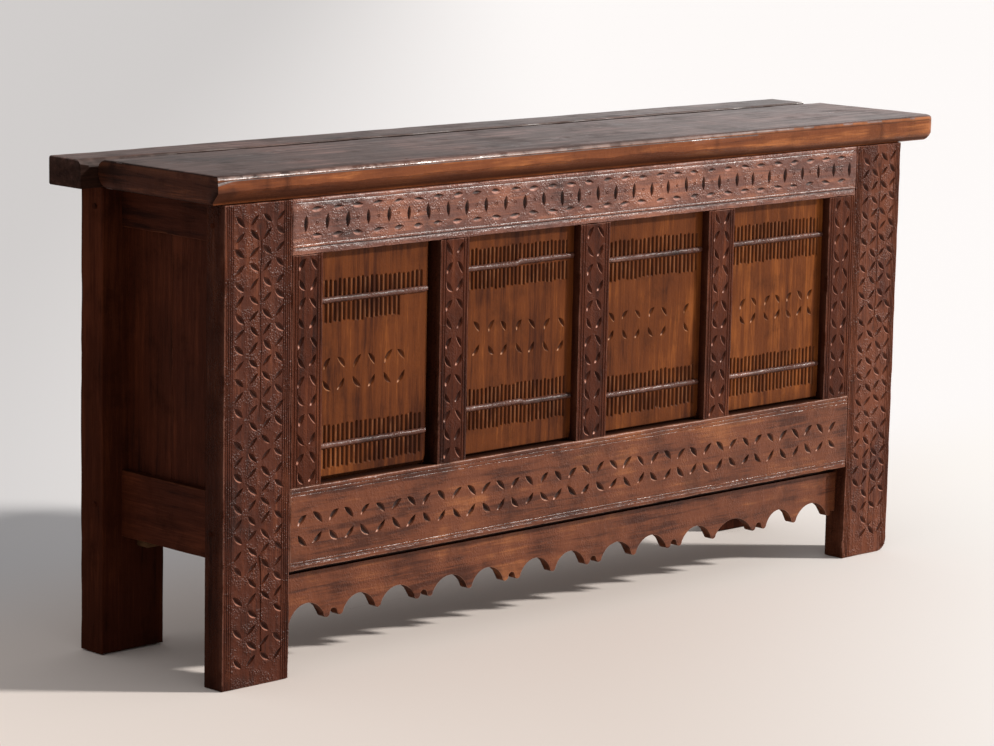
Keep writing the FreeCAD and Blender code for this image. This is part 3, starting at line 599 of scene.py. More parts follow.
def boardMesh(name, spans, facing, look, cuts=(), outline=None):
    place, (width, height, thick) = toWorld(facing, spans)
    seed = look["seed"]
    chance = random.Random(seed)
    upright = look["groovesRun"] == "v"
    length = height if upright else width

    def wander(run, number):
        slow, quick = unevenness(seed + number, run / 70, 3.3), unevenness(seed + number, run / 19, 8.1)
        return 0.5 * slow + 0.25 * quick

    lines = []  # where each groove's rims and foot run
    for number, (spot, depth, grooveWidth, *lean) in enumerate(look["grooves"]):
        half = grooveWidth / 2
        for shift in (-half, half * sum(lean), half):
            lines.append((spot + shift, number))
    marks = [(spot + wander(0, number), spot + wander(length, number)) for spot, number in lines]

    def grooveDepth(u, v):
        across, run = (u, v) if upright else (v, u)
        total = 0
        for number, (spot, depth, grooveWidth, *lean) in enumerate(look["grooves"]):
            foot = grooveWidth / 2 * sum(lean)
            off = across - spot - wander(run, number) - foot
            room = grooveWidth / 2 + (foot if off < 0 else -foot)
            total = max(total, depth * (1 - abs(off) / room))
        return total

    cellSize = 40  # a cut is looked up by the cells that its box touches
    cells = {}
    for cut in cuts:
        u0, v0, u1, v1 = (int(part // cellSize) for part in cut["box"])
        for cell in ((column, row) for column in range(u0, u1 + 1) for row in range(v0, v1 + 1)):
            cells.setdefault(cell, []).append(cut)

    def nearCuts(u, v):
        return cells.get((int(u // cellSize), int(v // cellSize)), ())

    swaySize = look["swaySize"]
    stretch = (1, 3) if upright else (3, 1)
    footHigh, footDeep = look["foot"]
    headHigh, headDeep = look["head"]
    headLow, headSlope = height - headHigh, 1.2

    def swayDepth(u, v):
        big = unevenness(seed, u / swaySize / stretch[0], v / swaySize / stretch[1])
        small = unevenness(seed + 5, u / 31 / stretch[0], v / 31 / stretch[1])
        hills = look["ripple"] * (0.5 + 0.5 * unevenness(seed + 9, u / 11, v / 11)) if look["ripple"] else 0
        bevel = footDeep * (1 - v / footHigh) if v < footHigh else 0
        bevel += headDeep * min(1, (v - height + headHigh) / headSlope) if v > headLow else 0
        return look["sway"] * (0.5 + 0.5 * big) + 0.3 * look["sway"] * (0.5 + 0.5 * small) + hills + bevel

    samples = outlineSamples(outline) if outline else perimeterOf(width, height, look, marks)
    count = len(samples)
    long = (1, 3) if upright else (0, 2)
    places = [index for index, sample in enumerate(samples) if outline or sample["sides"][0] in long]
    dents = [(chance.choice(places), chance.uniform(0.5, 1)) for each in range(look["dents"])]

    # Rows down the side, each an inset and a depth for every place round the board
    for index, sample in enumerate(samples):
        u, v = sample["at"]
        uneven = unevenness(seed + 11, u / 43 + v / 61, v / 37 - u / 83)
        worn = look["wear"] * (1 + look["wearSpread"] * uneven)
        for spot, share in dents:
            away = min((index - spot) % count, (spot - index) % count)
            if away < 2:
                worn += look["dentSize"] * share * (1 - away / 2)
        edgeSway = look["edgeSway"] * (0.5 + 0.5 * unevenness(seed + 17, u / 120, v / 120))
        if not look["profile"]:
            rimInset = look["wear"] * 1.6 + look["lap"]
            worn = min(worn, rimInset - 0.3)
            edgeSway = min(edgeSway, rimInset - 0.3 - worn)
        firstRows, secondRows = (rowsOf(look, side, u / width, thick, worn) for side in sample["sides"])
        blend = sample["blend"]
        (firstU, firstV), (secondU, secondV) = sample["ways"]
        sample["rows"] = []
        for number, ((i0, d0), (i1, d1)) in enumerate(zip(firstRows, secondRows)):
            depth = d0 * (1 - blend) + d1 * blend
            side = look["sideSway"] * (0.5 + 0.5 * unevenness(seed + 23, u / 60 + v / 60, depth / 14))
            side *= min(1, number / 4)
            more = edgeSway + side if number else 0
            if number in look["rowSway"] and sample["sides"] == (0, 0):
                depth += look["rowSway"][number] * unevenness(seed + 31, u / 70, v / 90)
                depth += 0.4 * look["rowSway"][number] * unevenness(seed + 37, u / 17, 0)
            at = (u + (i0 + more) * firstU + (i1 + more) * secondU,
                  v + (i0 + more) * firstV + (i1 + more) * secondV)
            shown = grooveDepth(*at) + swayDepth(*at)
            low = min(depth + shown * max(0, 1 - depth / (thick * 0.8)), thick)
            sample["rows"].append((*at, low))
    rowCount = len(samples[0]["rows"])
    # each point's cut value holds its cut depth, and painted shade on dark rows, feet and steps
    points, edges, cutAndShadeShares = [], [], []
    soft = look["edgeRows"] if look["profile"] else (0.0, 0.0, 0.7, 1.0, 0.35)
    for row in range(rowCount):
        for sample in samples:
            sides, (u, v) = sample["sides"], sample["at"]
            points.append(sample["rows"][row])
            share = 1 if sides == (0, 0) or not look["band"] else 0.3
            # the arris's pale fades along the board; on the lid this also fades its painted highlight
            share *= 1 - look["edgeFade"] * u / width
            edges.append(share * soft[row] if row < len(soft) else 0.0)
            # the listed rows of the lower side are darkened as painted shade
            dirt = look["rowDirt"].get(row, 0.0) if 0 in sides else 0.0
            if sides == (2, 2):
                dirt = look["topDirt"].get(row, 0.0)
            # the step along the upper edge is painted dark as shade
            if v > headLow and row < 5:
                dirt = max(dirt, 1)
            # listed dark patches: real stains, and on the lid also painted shade
            for start, end, firstRow, lastRow, share in look["stains"]:
                if 0 in sides and start < u < end and firstRow <= row <= lastRow:
                    dirt = max(dirt, share)
            cutAndShadeShares.append(dirt)
    faces = []
    for row in range(rowCount - 1):
        for index in range(count):
            here, following = row * count + index, row * count + (index + 1) % count
            faces.append((here, here + count, following + count, following))

    def fill(first, flat, rims, added):  # triangles inside the row of points that starts at first
        rim = [tuple(point) for point in flat[:count]]
        spots, found, triangles, origins, *rest = delaunay_2d_cdt(flat, rims, [], 1, 0.01, True)
        lookup = []
        for spot, sources in zip(spots, origins):
            ring = [source for source in sources if source < count]
            lookup.append(first + ring[0] if ring else len(points))
            if not ring:
                depth, edge, cutAndShadeShare = added(*spot)
                points.append((spot.x, spot.y, depth))
                edges.append(edge)
                cutAndShadeShares.append(cutAndShadeShare)
        for corners in triangles:
            corners = [lookup[number] for number in corners]
            (au, av), (bu, bv), (cu, cv) = (points[corner][:2] for corner in corners[:3])
            centre = ((au + bu + cu) / 3, (av + bv + cv) / 3)
            if first == 0 and max(corners) < count and not insideOutline(*centre, rim):
                continue
            if outline and not insideOutline(*centre, outline):
                continue
            turn = (bu - au) * (cv - av) - (bv - av) * (cu - au)
            if turn > 0 if first else turn < 0:
                corners.reverse()
            faces.append(tuple(corners))

    def chain(spots):  # points joined one to the next
        start = len(flat)
        flat.extend(Vector(spot) for spot in spots)
        rims.extend((index, index + 1) for index in range(start, len(flat) - 1))

    # The show face: outline, grooves, cuts and a loose grid, joined by a constrained triangulation
    ringOf = [(index, (index + 1) % count) for index in range(count)]
    flat = [Vector(points[index][:2]) for index in range(count)]
    rims = list(ringOf)
    ringAt = {}
    for index, sample in enumerate(samples):
        ringAt.setdefault(sample["mark"], []).append(index)
    lowU, highU = min(p.x for p in flat), max(p.x for p in flat)
    lowV, highV = min(p.y for p in flat), max(p.y for p in flat)
    lineStep = 13
    for number, (spot, groove) in enumerate(lines):
        ends = ringAt.get(number, [])
        if len(ends) != 2:
            continue
        ends.sort(key=lambda index: samples[index]["at"][1 if upright else 0])
        pieces = max(2, round(length / lineStep))
        start = len(flat)
        runs = [length * part / pieces for part in range(1, pieces)]
        alongs = [(spot + wander(run, groove), run) for run in runs]
        rims.append((ends[0], start))
        chain((across, run) if upright else (run, across) for across, run in alongs)
        rims.append((len(flat) - 1, ends[1]))
    for cut in cuts:
        for loop in cut["loops"]:
            chain(loop)
            rims.append((len(flat) - 1, len(flat) - len(loop)))
        for line in cut["lines"]:
            chain(line)
    bevels = [footHigh, footHigh + 1.6] if footHigh else []
    bevels += [headLow, headLow + headSlope] if headHigh else []
    for level in bevels:  # a line where it starts and one where its shade or its slope ends
        run = highU - lowU - 6
        parts = int(run / lineStep)
        chain((lowU + 3 + run * part / parts, level) for part in range(parts + 1))
    step = look["step"]
    inner = look["wear"] * 2 + 3 + look["lap"]
    grooveRoom, levelRoom = 4.5, 3.5  # no loose point lies nearer to a line
    for column in range(int(width / step) + 1):
        for row in range(int(height / step) + 1):
            u = (column + 0.5 + chance.uniform(-0.3, 0.3)) * step
            v = (row + 0.5 * (column % 2) + 0.25 + chance.uniform(-0.3, 0.3)) * step
            if not (lowU + inner < u < highU - inner and lowV + inner < v < highV - inner):
                continue
            across = u if upright else v
            if any(abs(across - groove[0]) < grooveRoom for groove in look["grooves"]):
                continue
            if any(abs(v - level) < levelRoom for level in bevels):
                continue
            boxes = [cut["box"] for cut in nearCuts(u, v)]
            if any(box[0] < u < box[2] and box[1] < v < box[3] for box in boxes):
                continue
            if outline and not insideOutline(u, v, outline, 5):
                continue
            flat.append(Vector((u, v)))

    darkCut, darkGroove = 3.4, 2.2  # the depths that are as dark as can be

    def shown(u, v):
        near = nearCuts(u, v)
        carved, scored = max((cut["depth"](u, v) for cut in near), default=0), grooveDepth(u, v)
        # painted highlights of leaves and flutes, carried in the edge value
        rubbed = max((cut["rubbed"](u, v) for cut in near if "rubbed" in cut), default=0.0)
        # feet and upper steps are painted dark as shade
        paintedShade = footHigh and v < footHigh + 0.5 or headHigh and v > headLow + 0.6
        share = max(carved / darkCut, scored / darkGroove, 1 if paintedShade else 0)
        return swayDepth(u, v) + max(carved, scored), rubbed, min(1, share)

    fill(0, flat, rims, shown)
    # The far face is flat
    first = (rowCount - 1) * count
    fill(first, [Vector(points[first + index][:2]) for index in range(count)], ringOf,
         lambda u, v: (thick, 0.0, 0.0))

    mesh = bpy.data.meshes.new(name)
    mesh.from_pydata([[part * mm for part in place(*point)] for point in points], [], faces)
    for material in woods[look["wood"]]:
        mesh.materials.append(material)
    if look["band"]:
        mesh.materials.append(woods[look["band"], look["wood"][1]][0])
    if look["ends"]:
        mesh.materials.append(woods[look["ends"], "y"][0])
    outward = Vector(place(0, 0, 0)) - Vector(place(0, 0, 1))
    for face in mesh.polygons:
        facingOut = face.normal.dot(outward)
        # faces turned from the show face take the darkened copy: painted shade
        dull = facingOut < look["dullBelow"]
        if look["shinySides"] and abs(face.normal.x) < 0.6 and face.normal.y < 0:
            dull = False
        face.material_index = 1 if dull else 0
        if look["band"] and facingOut < 0.22 and face.normal.y < -0.3:
            face.material_index = 2
        # the left-facing end takes the darker end finish: painted shade
        if look["ends"] and facingOut < 0.5 and face.normal.x < -0.6:
            face.material_index = 3
    far = look["tone"] if look["toneFar"] is None else look["toneFar"]
    tones = [look["tone"] + (far - look["tone"]) * point[0] / width for point in points]
    turns = [look["tone"]] * len(points)
    for word, values in (("tone", tones), ("turn", turns), ("cut", cutAndShadeShares), ("edge", edges)):
        mesh.attributes.new(word, "FLOAT", "POINT").data.foreach_set("value", values)
    return smoothed(mesh, 33)


def smoothed(mesh, degrees):
    mesh.shade_smooth()
    mesh.set_sharp_from_angle(angle=math.radians(degrees))
    return mesh


def evaluated(thing):
    return bpy.data.meshes.new_from_object(thing.evaluated_get(bpy.context.evaluated_depsgraph_get()))


def keep(name, mesh, material, nodes, body="chest"):
    thing = linked(name, mesh)
    if material:
        mesh.materials.clear()
        mesh.materials.append(material)
    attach(thing, body)
    if nodes:
        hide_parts(*nodes)
    return thing


def board(node, facing, slot, way, spans, cuts=(), outline=None, body="chest", **changes):
    seed = sum(ord(letter) * (index + 3) for index, letter in enumerate(node)) % 997
    look = {**plainLook, "seed": seed, "tone": random.Random(seed).uniform(0.2, 0.8), **changes}
    level = way == "x" or way == "y" and facing in ("left", "right")
    look["groovesRun"] = "u" if level else "v"
    look["wood"] = (look["finish"] or slot, way)
    mesh = boardMesh(pieceName(node), spans, facing, look, cuts, outline)
    return keep(pieceName(node), mesh, None, [node], body)


def fitting(cuts):  # drops a cut that would run into one kept before it
    kept = []
    for cut in cuts:
        if not any(touching(cut, other) for other in kept):
            kept.append(cut)
    return kept


def lattice(columns, rows, chance, length=28, width=9.5, depth=3.2, firstSign=-1, slant=44, bow=0.0,
            tilt=0.0, tip=0.0, slim=1.0):
    # leaves by turns one way and the other; bow bends each away from the ring it belongs to
    cuts = []
    for column, u in enumerate(columns):
        for row, v in enumerate(rows):
            sign = firstSign * (-1) ** (column + row)
            size = chance.uniform(0.9, 1.06)
            wide = width * (slim if sign > 0 else 1)
            outward = bow * sign * (-1) ** column * (firstSign if len(rows) == 2 else 1)
            lower = v + tilt * (u - columns[0])
            cuts.append(leafCut(u + chance.uniform(-1.3, 1.3), lower + chance.uniform(-1.5, 1.5),
                                sign * (slant + chance.uniform(-5, 5)), length * size,
                                wide * chance.uniform(0.88, 1.1), depth * chance.uniform(0.85, 1.1),
                                0.3 * sign, outward, tip * sign * chance.uniform(0.4, 1)))
    return cuts


# The spans of the visible boards, from the frame's own nodes
legLeft, legRight = spansOf("front_left_leg"), spansOf("front_right_leg")
rearLeft, rearRight = spansOf("rear_left_leg"), spansOf("rear_right_leg")
topRail, bottomRail = spansOf("front_top_rail"), spansOf("front_bottom_rail")
legHeight = legLeft[2][1]
between = [legLeft[0][1], legRight[0][0]]
backBetween = [rearLeft[0][1], rearRight[0][0]]
openingLow, openingHigh = bottomRail[2][1], topRail[2][0]
tuck = 0.3  # how far a board goes into its neighbour, so that no light shows in a joint
grooved = 2  # and how far a panel does


def tucked(span, by=tuck):
    return [span[0] - by, span[1] + by]



# Front legs
legCarving = {"columns": (34, 66, 96, 125), "rowPitch": 27.6, "firstRow": 44.2, "rows": 29, "wornBelow": 200}


def legCuts(width, seed):
    chance = random.Random(seed)
    columns = [column * width / 153 for column in legCarving["columns"]]
    rows = [legCarving["firstRow"] + legCarving["rowPitch"] * row for row in range(legCarving["rows"])]
    cuts = lattice(columns, rows, chance, length=28, width=11, depth=4.4, firstSign=-1, slant=42, tilt=0.08,
                   slim=0.68)
    kept = []
    for cut in cuts:  # some of the lowest leaves are worn away
        height = (cut["box"][1] + cut["box"][3]) / 2
        if not (height < legCarving["wornBelow"] and chance.random() < 0.25):
            kept.append(cut)
    middle = (columns[1] + columns[2]) / 2 + 1
    crack = [(middle + chance.uniform(-2.2, 2.2), 470 + 42 * step) for step in range(9)]
    kept.append(crackCut(crack, 1.8, 2.6))
    crack = [(middle + 4 + chance.uniform(-3, 3), 60 + 34 * step) for step in range(6)]
    kept.append(crackCut(crack, 2.2, 2.8))
    return kept


def legGrooves(width):
    return [(5.5, 0.9, 2.6), (9.5, 1.2, 2.6), (14, 1.1, 2.6), (18.5, 0.8, 2.4),
            (width - 20, 0.9, 2.4), (width - 15, 1.1, 2.6), (width - 10.5, 1.2, 2.6), (width - 6, 1, 2.6)]


for node, spans, corners, tone in (("front_left_leg", legLeft, (0, 0, 0, 0), 0.45),
                                   ("front_right_leg", legRight, (0, 26, 0, 0), 1.2)):
    width = spans[0][1] - spans[0][0]
    board(node, "front", "dark_wood", "z", spans, legCuts(width, len(node)), grooves=legGrooves(width),
          corners=corners, tone=tone, wear=1.8, lap=1, sway=1.1, edgeSway=0.8, sideSway=0.9, dents=14,
          dentSize=3)
print("front legs carved")

# Front rails
railCarving = {"leafPitch": 48.2, "firstLeaf": 31, "ringPitch": 75, "firstRing": 46}


def topRailCuts(length):
    chance = random.Random(41)
    cuts = []
    count = int((length - railCarving["firstLeaf"]) / railCarving["leafPitch"]) + 1
    for number in range(count):
        u = railCarving["firstLeaf"] + railCarving["leafPitch"] * number
        cuts.append(leafCut(u + chance.uniform(-2, 2), 55 + chance.uniform(-1.5, 1.5),
                            90 + chance.uniform(-6, 6), chance.uniform(27, 31), chance.uniform(9, 11), 5.5,
                            chance.uniform(-0.1, 0.2)))
        middle = u + railCarving["leafPitch"] / 2
        if middle > length - 16:
            continue
        for v in (79, 32):
            cuts.append(leafCut(middle + chance.uniform(-2, 2), v + chance.uniform(-1, 1),
                                chance.uniform(-8, 8), chance.uniform(24, 29), chance.uniform(8.5, 10.5),
                                3.8, 0.3))
        cuts.append(ringCut(middle + chance.uniform(-2, 2), 56 + chance.uniform(-2, 2), 2.4, 2, 0.9))
    return cuts


def bottomRailCuts(length):
    chance = random.Random(57)
    middle, halfRing = 72, railCarving["ringPitch"] / 2
    start = railCarving["firstRing"] - railCarving["ringPitch"] / 4
    columns = []
    while start + halfRing * len(columns) < length - 16:
        columns.append(start + halfRing * len(columns))
    return lattice(columns, (middle + 18.5, middle - 18.5), chance, length=31, width=11.5, depth=5.5,
                   firstSign=1, slant=44, bow=2.2, tip=0.5, slim=0.85) + [pitCut(690, 64, 5, 2)]


clear = between[1] - between[0]
frontX, frontY = tucked(between), topRail[1]
board("front_top_rail", "front", "dark_wood", "x", [frontX, frontY, topRail[2]],
      topRailCuts(clear), wear=3.2, lap=0.8, sway=0.8, dents=10, dentSize=1, tone=0.35,
      toneFar=0.95, step=9, ripple=0.9, finish="top_rail",
      grooves=[(11.2, 2, 6.4, 0.6), (17.8, 0.9, 2.8, 0.3), (90.3, 1.2, 3.4, 0.3)])
board("front_bottom_rail", "front", "warm_wood", "x", [frontX, frontY, bottomRail[2]],
      bottomRailCuts(clear), wear=3, lap=0.8, sway=1, dents=12, dentSize=1.4, tone=0.35,
      toneFar=0.4, ripple=0.35, step=11, topDirt={4: 0.3, 5: 1, 6: 1, 7: 1},
      grooves=[(9.6, 1.5, 5, 0.6), (15.2, 0.8, 2.4), (134, 0.9, 2.6), (140.5, 1.1, 3)])
print("front rails carved")

# Stiles
frontOpening = (openingLow, openingHigh)
stileTones = (0.26, 0.3, 0.25, 0.5, 0.4)
for number, tone in enumerate(stileTones, 1):
    node = f"front_stile_{number}"
    spans = spansOf(node)
    width = spans[0][1] - spans[0][0]
    chance = random.Random(70 + number)
    rows = [17 + 34.1 * row for row in range(12)]
    cuts = lattice((width / 2 - 13.5, width / 2 + 13.5), rows, chance, length=28, width=10, depth=3.8,
                   firstSign=(-1) ** number, slant=56, bow=2.4, tip=0.5)
    board(node, "front", "dark_wood", "z", [spans[0], spans[1], tucked(frontOpening)], cuts, finish="stile",
          wear=1.4, sway=0.8, dents=4, edgeSway=0.5, tone=tone,
          grooves=[(6.5, 1.1, 2.6), (13, 1.1, 2.4), (width - 13, 1.1, 2.4), (width - 6.5, 1.1, 2.6)])
print("stiles carved")

# Front panels: leaf rows between two bars, each bar with a comb of flutes over and under it
panelCarving = {
    1: {"bars": (322, 63), "leaves": (27, 63, 100, 134, 173, 206), "rows": (210, 170), "sign": 1,
        "size": 30, "tilt": 0.0, "pitch": 10.9, "tone": 0.3, "shortComb": 199},
    2: {"bars": (348, 89), "leaves": (41, 77, 110, 149, 183, 221, 260), "rows": (241, 197), "sign": -1,
        "size": 26, "tilt": -0.057, "pitch": 10.2, "tone": 0.35},
    3: {"bars": (333, 74), "leaves": (28, 65, 101, 138, 174, 236), "rows": (227, 189), "sign": -1,
        "size": 24, "tilt": -0.02, "pitch": 11.3, "tone": 0.5},
    4: {"bars": (335, 73), "leaves": (52, 84, 123, 155, 190, 222, 253), "rows": (218, 185), "sign": 1,
        "size": 25, "tilt": 0.0, "pitch": 10.8, "tone": 0.65},
}
combShape = {"width": 0.66, "up": 38, "down": 41, "gap": 2.5, "depth": 3}


def panelCuts(number, width):
    carving = panelCarving[number]
    chance = random.Random(90 + number)
    pitch, gap, depth = carving["pitch"], combShape["gap"], combShape["depth"]
    cuts = []
    for bar in carving["bars"]:
        count = int((width - 12) / pitch)
        for flute in range(count):
            u = (width - (count - 1) * pitch) / 2 + flute * pitch
            u += chance.uniform(-0.4, 0.4)
            wide = combShape["width"] * pitch * chance.uniform(0.88, 1.08)
            cuts.append(fluteCut(u, bar + gap, bar + combShape["up"] + chance.uniform(-2, 2), wide, depth))
            if bar == carving["bars"][0] and u > carving.get("shortComb", width):
                continue
            foot = bar - combShape["down"] + chance.uniform(-2, 2)
            cuts.append(fluteCut(u, foot, bar - gap, wide, depth))
    cuts += lattice(carving["leaves"], carving["rows"], chance, length=carving["size"], width=9.5, depth=3.8,
                    slant=52, firstSign=carving["sign"], bow=2.4, tip=0.6, tilt=carving["tilt"])
    return cuts


barsProud = 5  # how far the bars stand out from the board
panelOpenings = {}
for number, carving in panelCarving.items():
    node = f"front_panel_{number}"
    spans = spansOf(node)
    left = spansOf(f"front_stile_{number}")[0][1]
    right = min(spansOf(f"front_stile_{number + 1}")[0][0], spans[0][1])
    panelOpenings[number] = (left, right)
    x = [left - grooved, right + (grooved if right < spans[0][1] else 0)]
    y = [spans[1][0] + barsProud, spans[1][1]]
    # the foot and the lowest rows are painted dark: painted shade where the panel meets the rail
    board(node, "front", "panel_wood", "z", [x, y, tucked(frontOpening, grooved)],
          panelCuts(number, right - left), wear=0.8, lap=1, sway=1, dents=0, edgeSway=0,
          sideSway=0, tone=carving["tone"], foot=(10 if number == 1 else 7, 9),
          rowDirt={row: 0.9 for row in range(6)})
print("panels carved")

# Apron: round lobes between arches, single and double by turns
apronShape = {
    "lobe": 8, "foot": 88, "rise": 33, "notch": 15, "pitch": 32, "margin": 18, "housing": 18,
    "archShares": (0.963, 0.932, 0.994, 1.014, 0.953, 0.953, 0.953, 0.984, 0.994, 1.004, 1.209, 0.932,
                   1.086),
    "doubleAfter": (0, 2, 4, 6, 8, 10),
}


def arcPoints(start, crown, end, steps):  # through three points, the first left out
    (ax, ay), (bx, by), (cx, cy) = start, crown, end
    turn = 2 * (ax * (by - cy) + bx * (cy - ay) + cx * (ay - by))
    a, b, c = ax * ax + ay * ay, bx * bx + by * by, cx * cx + cy * cy
    centre = ((a * (by - cy) + b * (cy - ay) + c * (ay - by)) / turn,
              (a * (cx - bx) + b * (ax - cx) + c * (bx - ax)) / turn)
    radius = math.hypot(ax - centre[0], ay - centre[1])
    first = math.atan2(ay - centre[1], ax - centre[0])
    last = math.atan2(cy - centre[1], cx - centre[0])
    through = math.atan2(by - centre[1], bx - centre[0])
    sweep = (last - first) % (2 * math.pi)
    if (through - first) % (2 * math.pi) > sweep:
        sweep -= 2 * math.pi
    return [(centre[0] + radius * math.cos(first + sweep * step / steps),
             centre[1] + radius * math.sin(first + sweep * step / steps)) for step in range(1, steps + 1)]


def apronOutline(clear, top):
    shape = apronShape
    lobe, level = shape["lobe"], shape["lobe"]
    run = clear - 2 * shape["margin"] - len(shape["doubleAfter"]) * shape["pitch"]
    unit = run / sum(shape["archShares"])
    inset = shape["housing"]  # u starts at the end of the board in the leg
    x = shape["margin"] + inset
    points = [(0, level), (x - lobe, level)] + arcPoints((x - lobe, level), (x, 0), (x + lobe, level), 8)

    def onwards(x, far, crown, steps):
        points.extend(arcPoints((x + lobe, level), ((x + far) / 2, crown), (far - lobe, level), steps))
        points.extend(arcPoints((far - lobe, level), (far, 0), (far + lobe, level), 8))

    for number, share in enumerate(shape["archShares"]):
        far = x + share * unit
        onwards(x, far, shape["rise"], 12)
        x = far
        if number in shape["doubleAfter"]:
            onwards(x, x + shape["pitch"], shape["notch"], 6)
            x += shape["pitch"]
    end = clear + 2 * inset
    right = [(end, level), (end, top)]
    count = round(end / 20)
    return points + right + [(end - end * step / count, top) for step in range(1, count + 1)]


apron = spansOf("front_apron")
apron[2][1] -= 0.4  # clear of the rail
outline = apronOutline(clear, apron[2][1] - apron[2][0])
# the step under the rail is painted dark: painted shade
board("front_apron", "front", "warm_wood", "x", apron,
      outline=outline, wear=1.3, sway=0.9, dents=10, dentSize=1.2, edgeSway=0.1, sideSway=0.3, backBevel=0.8,
      step=12, tone=0.25, head=(12.5, 7))
print("apron cut")

# Ends: rails and two boards each
legY = tucked((legLeft[1][1], rearLeft[1][0]))
for side in ("left", "right"):
    rails = {level: spansOf(f"{side}_end_{level}_rail") for level in ("top", "bottom")}
    for level, (x, y, z) in rails.items():
        board(f"{side}_end_{level}_rail", side, "end_wood", "y", [x, legY, z], sway=0.8, wear=1.6)
    for part in ("front", "rear"):
        panel = spansOf(f"{side}_end_panel_{part}")
        y = [max(panel[1][0], legY[0] - grooved), min(panel[1][1], legY[1] + grooved)]
        z = tucked((rails["bottom"][2][1], rails["top"][2][0]), grooved)
        knotY, knotZ = -15, 759
        knotted = side == "left" and y[0] + 15 < knotY < y[1] - 15
        knots = [pitCut(y[1] - knotY, knotZ - z[0], 5, 1.5)] if knotted else []
        board(f"{side}_end_panel_{part}", side, "end_wood", "z", [panel[0], y, z], knots, sway=1, wear=0.9,
              dents=2, edgeSway=0.1)

# Rear legs, rough from the adze
for node, spans in (("rear_left_leg", rearLeft), ("rear_right_leg", rearRight)):
    board(node, "back", "end_wood", "z", [spans[0], spans[1], [0, legHeight]], wear=2.4, sway=1.6,
          edgeSway=2.4, sideSway=2, dents=12, dentSize=3, step=24, backBevel=2)

# Back frame
for node in ("back_top_rail", "back_bottom_rail"):
    x, y, z = spansOf(node)
    board(node, "back", "back_wood", "x", [tucked(backBetween), y, z], sway=1, dents=4, step=22)
backOpening = (spansOf("back_bottom_rail")[2][1], spansOf("back_top_rail")[2][0])
for number in range(1, 4):
    x, y, z = spansOf(f"back_muntin_{number}")
    board(f"back_muntin_{number}", "back", "back_wood", "z", [x, y, tucked(backOpening)], sway=0.8,
          dents=4, step=22)
for number in range(1, 5):
    x, y, z = spansOf(f"back_panel_{number}")
    x = tucked(x, -8)  # the muntins hide its edges
    board(f"back_panel_{number}", "back", "back_wood", "z", [x, y, tucked(backOpening, grooved)],
          sway=1, wear=0.8, dents=0, step=24, edgeSway=0)

# Floor
for node in ("front_floor_bearer", "back_floor_bearer"):
    board(node, "top", "inner_wood", "x", spansOf(node), sway=0.3, wear=1, dents=3, step=24)
for number in range(1, 8):
    node = f"floor_board_{number}"
    board(node, "top", "inner_wood", "y", spansOf(node), sway=0.6, wear=1, dents=3, step=20)
print("ends, back and floor made")

# Top: a fixed board at the rear and the lid in front of it
rearBoard = spansOf("rear_top_board")
thick = rearBoard[2][1] - rearBoard[2][0]
bevelled = [(14, 0), (11, 1.2), (6, 5), (1, 11), (0, 14), (0, 30), (0, thick - 2), (1.5, thick)]
slight = [(5, 0), (2.4, 0.8), (1, 2.4), (0.2, 6), (0, 12), (0, 30), (0, thick - 2), (1.5, thick)]
square = [(4, 0), (1.7, 0.6), (0.5, 2), (0, 5), (0, 18), (0, 32), (0, thick - 2), (1.5, thick)]
# its front bevel is darkened row by row: painted shade in the gap before the lid
board("rear_top_board", "top", "lid_wood", "x", rearBoard, wear=2.2, sway=1.2, dents=12, dentSize=2,
      profile=(bevelled, square, square, square), farProfile=slight, edgeRows=(0, 0.1, 0.15, 0.15, 0.1),
      farSpan=(0.04, 0.12), rowDirt={1: 0.3, 2: 0.5, 3: 0.7, 4: 0.8, 5: 0.9}, step=18, edgeSway=0.8,
      sideSway=0.8, tone=0.4, room=19, dullBelow=0.3)

lid = spansOf("lid_board")
thick = lid[2][1] - lid[2][0]
hingeZ = lid[2][0] + thick / 2
turns = [math.radians(20 * step) for step in range(10)]
halfRound = [(thick / 2 * (1 - math.sin(turn)), thick / 2 * (1 - math.cos(turn))) for turn in turns]
lidFront = [(16, 0), (6, 1.2), (3, 3.4), (0.8, 7.4), (1.6, 9), (0.3, 10.6), (0.5, 27), (9.5, 37), (18, 46.5),
            (20, thick)]
lidFrontFar = [(6, 0), (2.6, 0.8), (0.6, 2.6), (0, 5.5), (0.3, 9), (0, 12.4), (0.4, 36), (4, 42), (9, 48),
               (13, thick)]
lidRight = [(12, 0), (6, 1.8), (2, 5.6), (0, 12), (0, 20), (0, 28), (0, 38), (2.4, thick - 7),
            (6, thick - 2.5), (12, thick)]
lidLeft = [(6, 0), (2.4, 0.9), (0.7, 2.6), (0, 6), (0, 14), (0, 24), (0, 34), (0.6, thick - 8),
           (2.8, thick - 2), (6, thick)]
lidStainsAndShade = [
    # the first darkens the lower front at the left end: painted shade; the rest are knots, cracks and marks
    (-1, 46, 7, 9, 0.9), (106, 121, 6, 7, 0.6), (146, 164, 6, 8, 0.7), (893, 1002, 5, 6, 0.4),
    (1238, 1252, 5, 7, 0.5), (1725, 1742, 4, 7, 0.6), (1764, 1790, 5, 7, 0.4), (1815, 1844, 5, 7, 0.4)]


def lidCuts(length):
    chance = random.Random(5)
    cuts = []
    for each in range(26):
        u, v = chance.uniform(60, length - 120), chance.uniform(30, 290)
        run = chance.uniform(20, 80)
        lean = chance.uniform(-3, 3)
        cuts.append(crackCut([(u, v), (u + run * 0.5, v + lean * 0.4), (u + run, v + lean)],
                             chance.uniform(1, 2), chance.uniform(0.5, 1.4)))
    return fitting(cuts)


